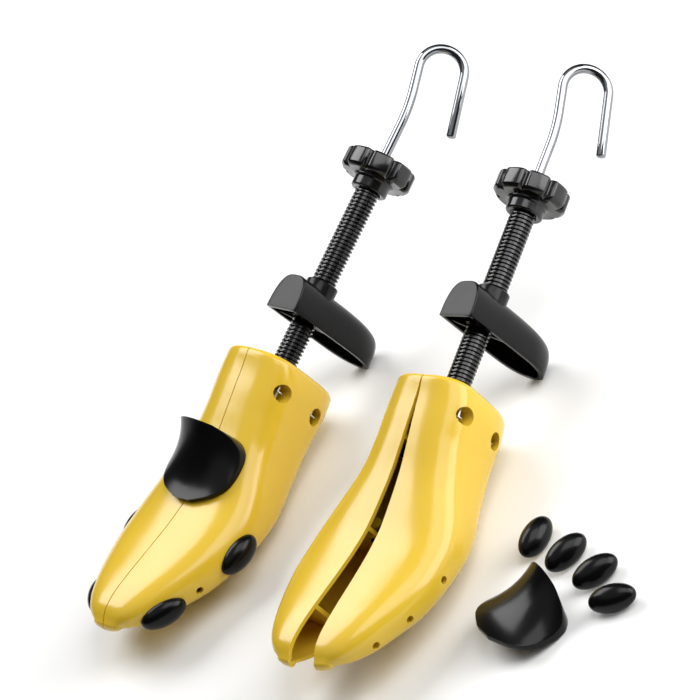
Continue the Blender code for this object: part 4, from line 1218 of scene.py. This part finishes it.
class STRETCHER_OT_springs(bpy.types.Operator):
    """Model the return springs and the cross pins that hold their loops"""

    bl_idname = "stretcher.springs"
    bl_label = "Return Springs"

    def route(self, turns):
        """List a spring's centreline along X, with a loop at each end."""
        half = COIL_HALF_LENGTH
        slack = -SPRING_Y * math.sin(math.radians(MAX_SPREAD_DEGREES)) + SEAT_GAP
        loop = PIN_RADIUS + WIRE_RADIUS + SEAT_GAP
        points = []
        for step in range(turns * COIL_POINTS + 1):
            turn = math.tau * step / COIL_POINTS
            x = -half + 2 * half * step / (turns * COIL_POINTS)
            points.append(Vector((x, COIL_RADIUS * math.sin(turn), COIL_RADIUS * math.cos(turn))))
        near = PIN_X - loop
        far = PIN_X + slack + PIN_RADIUS + WIRE_RADIUS
        end = [Vector((half + LOOP_LEAD, 0.0, COIL_RADIUS * LOOP_START_SHARE)),
               Vector((near - loop, 0.0, loop))]
        for step in range(LOOP_POINTS + 1):
            turn = math.radians(180) * step / LOOP_POINTS
            end.append(Vector((far - loop + loop * math.sin(turn), 0.0, loop * math.cos(turn))))
        end.append(Vector((near + loop / 2, 0.0, -loop)))
        start = [Vector((-point.x, point.y, point.z)) for point in reversed(end)]
        return start + points + end

    def execute(self, context):
        spring = smooth(tube("spring", self.route(context.scene.stretcher_form.coil_turns),
                             WIRE_RADIUS, 3, 2), 60)
        reach = BOSS_RADIUS - SEAT_GAP
        pin = rod("pin", (0.0, -reach, 0.0), (0.0, reach, 0.0), PIN_RADIUS, 28)
        modify(pin, "BEVEL", width=PIN_EDGE, segments=2, limit_method="ANGLE",
               angle_limit=math.radians(60))
        smooth(pin, 30)
        zinc = finish_material("steel_zinc_plated")
        for prefix in ("a", "b"):
            for level, height in (("upper", SPRING_HEIGHT), ("lower", -SPRING_HEIGHT)):
                place = stretcher_frame(prefix) @ Matrix.Translation((0.0, SPRING_Y, height))
                finished(copied(spring, f"{prefix}_{level}_coil", place), f"{prefix}_core",
                         [f"{prefix}_{level}_spring"], zinc)
                for side, sign in (("right", 1), ("left", -1)):
                    place = half_frame(prefix, side) @ Matrix.Translation(
                        (sign * PIN_X, SPRING_Y, height))
                    node = f"{prefix}_{level}_{side}_spring_pin"
                    finished(copied(pin, f"{prefix}_{level}_{side}_pin", place),
                             f"{prefix}_{side}_half", [node], zinc)
        discard(spring, pin)
        return {"FINISHED"}


class STRETCHER_OT_inner_parts(bpy.types.Operator):
    """Model the thrust blocks and the wedge nuts inside the halves"""

    bl_idname = "stretcher.inner_parts"
    bl_label = "Blocks and Wedges"

    def execute(self, context):
        half = BLOCK_WIDTH / 2
        thrust = block("thrust", (-half, BLOCK_FRONT_Y, -half),
                       (half, BLOCK_FRONT_Y + BLOCK_LENGTH, half), BLOCK_EDGE)
        cut(thrust, rod("bore", (0.0, BLOCK_FRONT_Y - OVERRUN, 0.0),
                        (0.0, BLOCK_FRONT_Y + BLOCK_LENGTH + OVERRUN, 0.0),
                        SPINDLE_RADIUS + RUN_GAP, 64))
        smooth(thrust, 30)
        back = WEDGE_TIP_Y - WEDGE_LENGTH
        # its flanks are then moved in, wide at the back and narrow at the tip
        wedge = block("wedge", (-1.0, back, -WEDGE_HEIGHT / 2),
                      (1.0, WEDGE_TIP_Y, WEDGE_HEIGHT / 2))
        wide = WEDGE_TIP_HALF_WIDTH + WEDGE_LENGTH * wedge_slope()
        for vertex in wedge.data.vertices:
            reach = wide if vertex.co.y < (back + WEDGE_TIP_Y) / 2 else WEDGE_TIP_HALF_WIDTH
            vertex.co.x = math.copysign(reach, vertex.co.x)
        modify(wedge, "BEVEL", width=WEDGE_EDGE, segments=3)
        cut(wedge, rod("bore", (0.0, back - OVERRUN, 0.0), (0.0, WEDGE_TIP_Y + OVERRUN, 0.0),
                       ROD_RADIUS + SEAT_GAP, 40))
        smooth(wedge, 30)
        material = finish_material("abs_moulded_black")
        for prefix in ("a", "b"):
            place = stretcher_frame(prefix)
            finished(copied(thrust, f"{prefix}_bearing_block", place), f"{prefix}_core",
                     [f"{prefix}_thrust_block"], material)
            place = place @ Matrix.Translation((0.0, WEDGE_STEPS[prefix], 0.0))
            finished(copied(wedge, f"{prefix}_wedge", place), f"{prefix}_wedge",
                     [f"{prefix}_wedge_nut"], material)
        discard(thrust, wedge)
        return {"FINISHED"}


class STRETCHER_OT_stage(bpy.types.Operator):
    """Set the floor, the soft light and the camera"""

    bl_idname = "stretcher.stage"
    bl_label = "Floor, Light and Camera"

    def softbox(self, name, box, power):
        """Add a rectangular light that faces a target."""
        place, target, size = box
        deselect()
        bpy.ops.object.light_add(type="AREA", location=place)
        light = bpy.context.object
        light.name = name
        light.data.shape = "RECTANGLE"
        light.data.size = size[0]
        light.data.size_y = size[1]
        light.data.energy = power
        aim = Vector(target) - Vector(place)
        light.rotation_euler = aim.to_track_quat("-Z", "Y").to_euler()

    def execute(self, context):
        stage = context.scene.stretcher_stage
        deselect()
        bpy.ops.mesh.primitive_plane_add(size=FLOOR_SIZE, location=(0.0, 0.0, -FLOOR_DROP))
        floor = named("floor")
        settle(floor)
        material, tree, shader, place = new_material("matt_paper", {"Roughness": 0.75})
        # paper sweep: even white with a faint cloudiness about 300 mm across
        cloud = add(tree, "ShaderNodeTexNoise", values={"Scale": 3.0}, links={"Vector": place})
        mix = add(tree, "ShaderNodeMix", {"data_type": "RGBA"},
                  {"A": tuple(stage.floor_colour), "B": linear("F7F7F6")},
                  {"Factor": cloud.outputs["Fac"]})
        tree.links.new(mix.outputs["Result"], shader.inputs["Base Color"])
        floor.data.materials.append(material)
        world = bpy.data.worlds.new("soft_surround")
        context.scene.world = world
        world.use_nodes = True
        # dim walls under a light ceiling give the plated bars their dark streaks
        tree = world.node_tree
        background = tree.nodes["Background"]
        background.inputs["Color"].default_value = linear("F6F7F9")
        direction = add(tree, "ShaderNodeTexCoord").outputs["Generated"]
        split = add(tree, "ShaderNodeSeparateXYZ", links={"Vector": direction})
        rise = add(tree, "ShaderNodeMapRange", {"interpolation_type": "SMOOTHSTEP"},
                   {"From Min": SKY_BAND[0], "From Max": SKY_BAND[1],
                    "To Min": stage.wall_strength, "To Max": stage.sky_strength},
                   {"Value": split.outputs["Z"]})
        tree.links.new(rise.outputs["Result"], background.inputs["Strength"])
        self.softbox("key", KEY_BOX, stage.key_power)
        self.softbox("strip", STRIP_BOX, stage.strip_power)
        self.softbox("fill", FILL_BOX, stage.fill_power)
        azimuth, elevation, roll = (math.radians(angle) for angle in
                                    (CAMERA_AZIMUTH, CAMERA_ELEVATION, CAMERA_ROLL))
        back = Vector((math.sin(azimuth) * math.cos(elevation),
                       -math.cos(azimuth) * math.cos(elevation), math.sin(elevation)))
        right = Vector((math.cos(azimuth), math.sin(azimuth), 0.0))
        up = back.cross(right)
        across = right * math.cos(roll) + up * math.sin(roll)
        over = up * math.cos(roll) - right * math.sin(roll)
        target = stretcher_frame("a").translation + Vector(CAMERA_TARGET)
        bpy.ops.object.camera_add()
        camera = bpy.context.object
        camera.name = "camera"
        turn = Matrix((across, over, back)).transposed().to_4x4()
        camera.matrix_world = Matrix.Translation(target + back * CAMERA_DISTANCE) @ turn
        camera.data.sensor_width = SENSOR_MM
        camera.data.lens = CAMERA_FOCAL_PIXELS / IMAGE_PIXELS * SENSOR_MM
        camera.data.clip_end = CAMERA_CLIP_END
        context.scene.camera = camera
        context.scene.view_settings.view_transform = "Standard"
        return {"FINISHED"}


class STRETCHER_PT_panel(bpy.types.Panel):
    """Lists the steps and their settings"""

    bl_idname = "STRETCHER_PT_panel"
    bl_label = "Shoe Stretchers"
    bl_space_type = "VIEW_3D"
    bl_region_type = "UI"
    bl_category = "Stretcher"

    def draw(self, context):
        layout = self.layout
        scene = context.scene
        for group in (scene.stretcher_finish, scene.stretcher_form, scene.stretcher_stage):
            box = layout.box()
            for key in group.bl_rna.properties.keys():
                if key not in ("rna_type", "name"):
                    box.prop(group, key)
        for step in STEPS:
            layout.operator(step.bl_idname)


STEPS = (
    STRETCHER_OT_stage,
    STRETCHER_OT_shells,
    STRETCHER_OT_spindles,
    STRETCHER_OT_knobs,
    STRETCHER_OT_hooks,
    STRETCHER_OT_heels,
    STRETCHER_OT_bumps,
    STRETCHER_OT_instep_pads,
    STRETCHER_OT_springs,
    STRETCHER_OT_inner_parts,
)
CLASSES = (StretcherFinish, StretcherForm, StretcherStage, *STEPS, STRETCHER_PT_panel)


def register():
    """Register the classes and the settings."""
    for item in CLASSES:
        bpy.utils.register_class(item)
    bpy.types.Scene.stretcher_finish = PointerProperty(type=StretcherFinish)
    bpy.types.Scene.stretcher_form = PointerProperty(type=StretcherForm)
    bpy.types.Scene.stretcher_stage = PointerProperty(type=StretcherStage)


def unregister():
    """Take the classes and the settings away."""
    for name in ("stretcher_finish", "stretcher_form", "stretcher_stage"):
        delattr(bpy.types.Scene, name)
    for item in reversed(CLASSES):
        bpy.utils.unregister_class(item)


def main():
    """Model every piece in order."""
    register()
    for item in list(bpy.data.objects):
        if item.type in {"CAMERA", "LIGHT"} or item.name == "Cube":
            bpy.data.objects.remove(item, do_unlink=True)
    deselect()
    for step in STEPS:
        group, name = step.bl_idname.split(".")
        getattr(getattr(bpy.ops, group), name)()


if __name__ == "__main__":
    main()
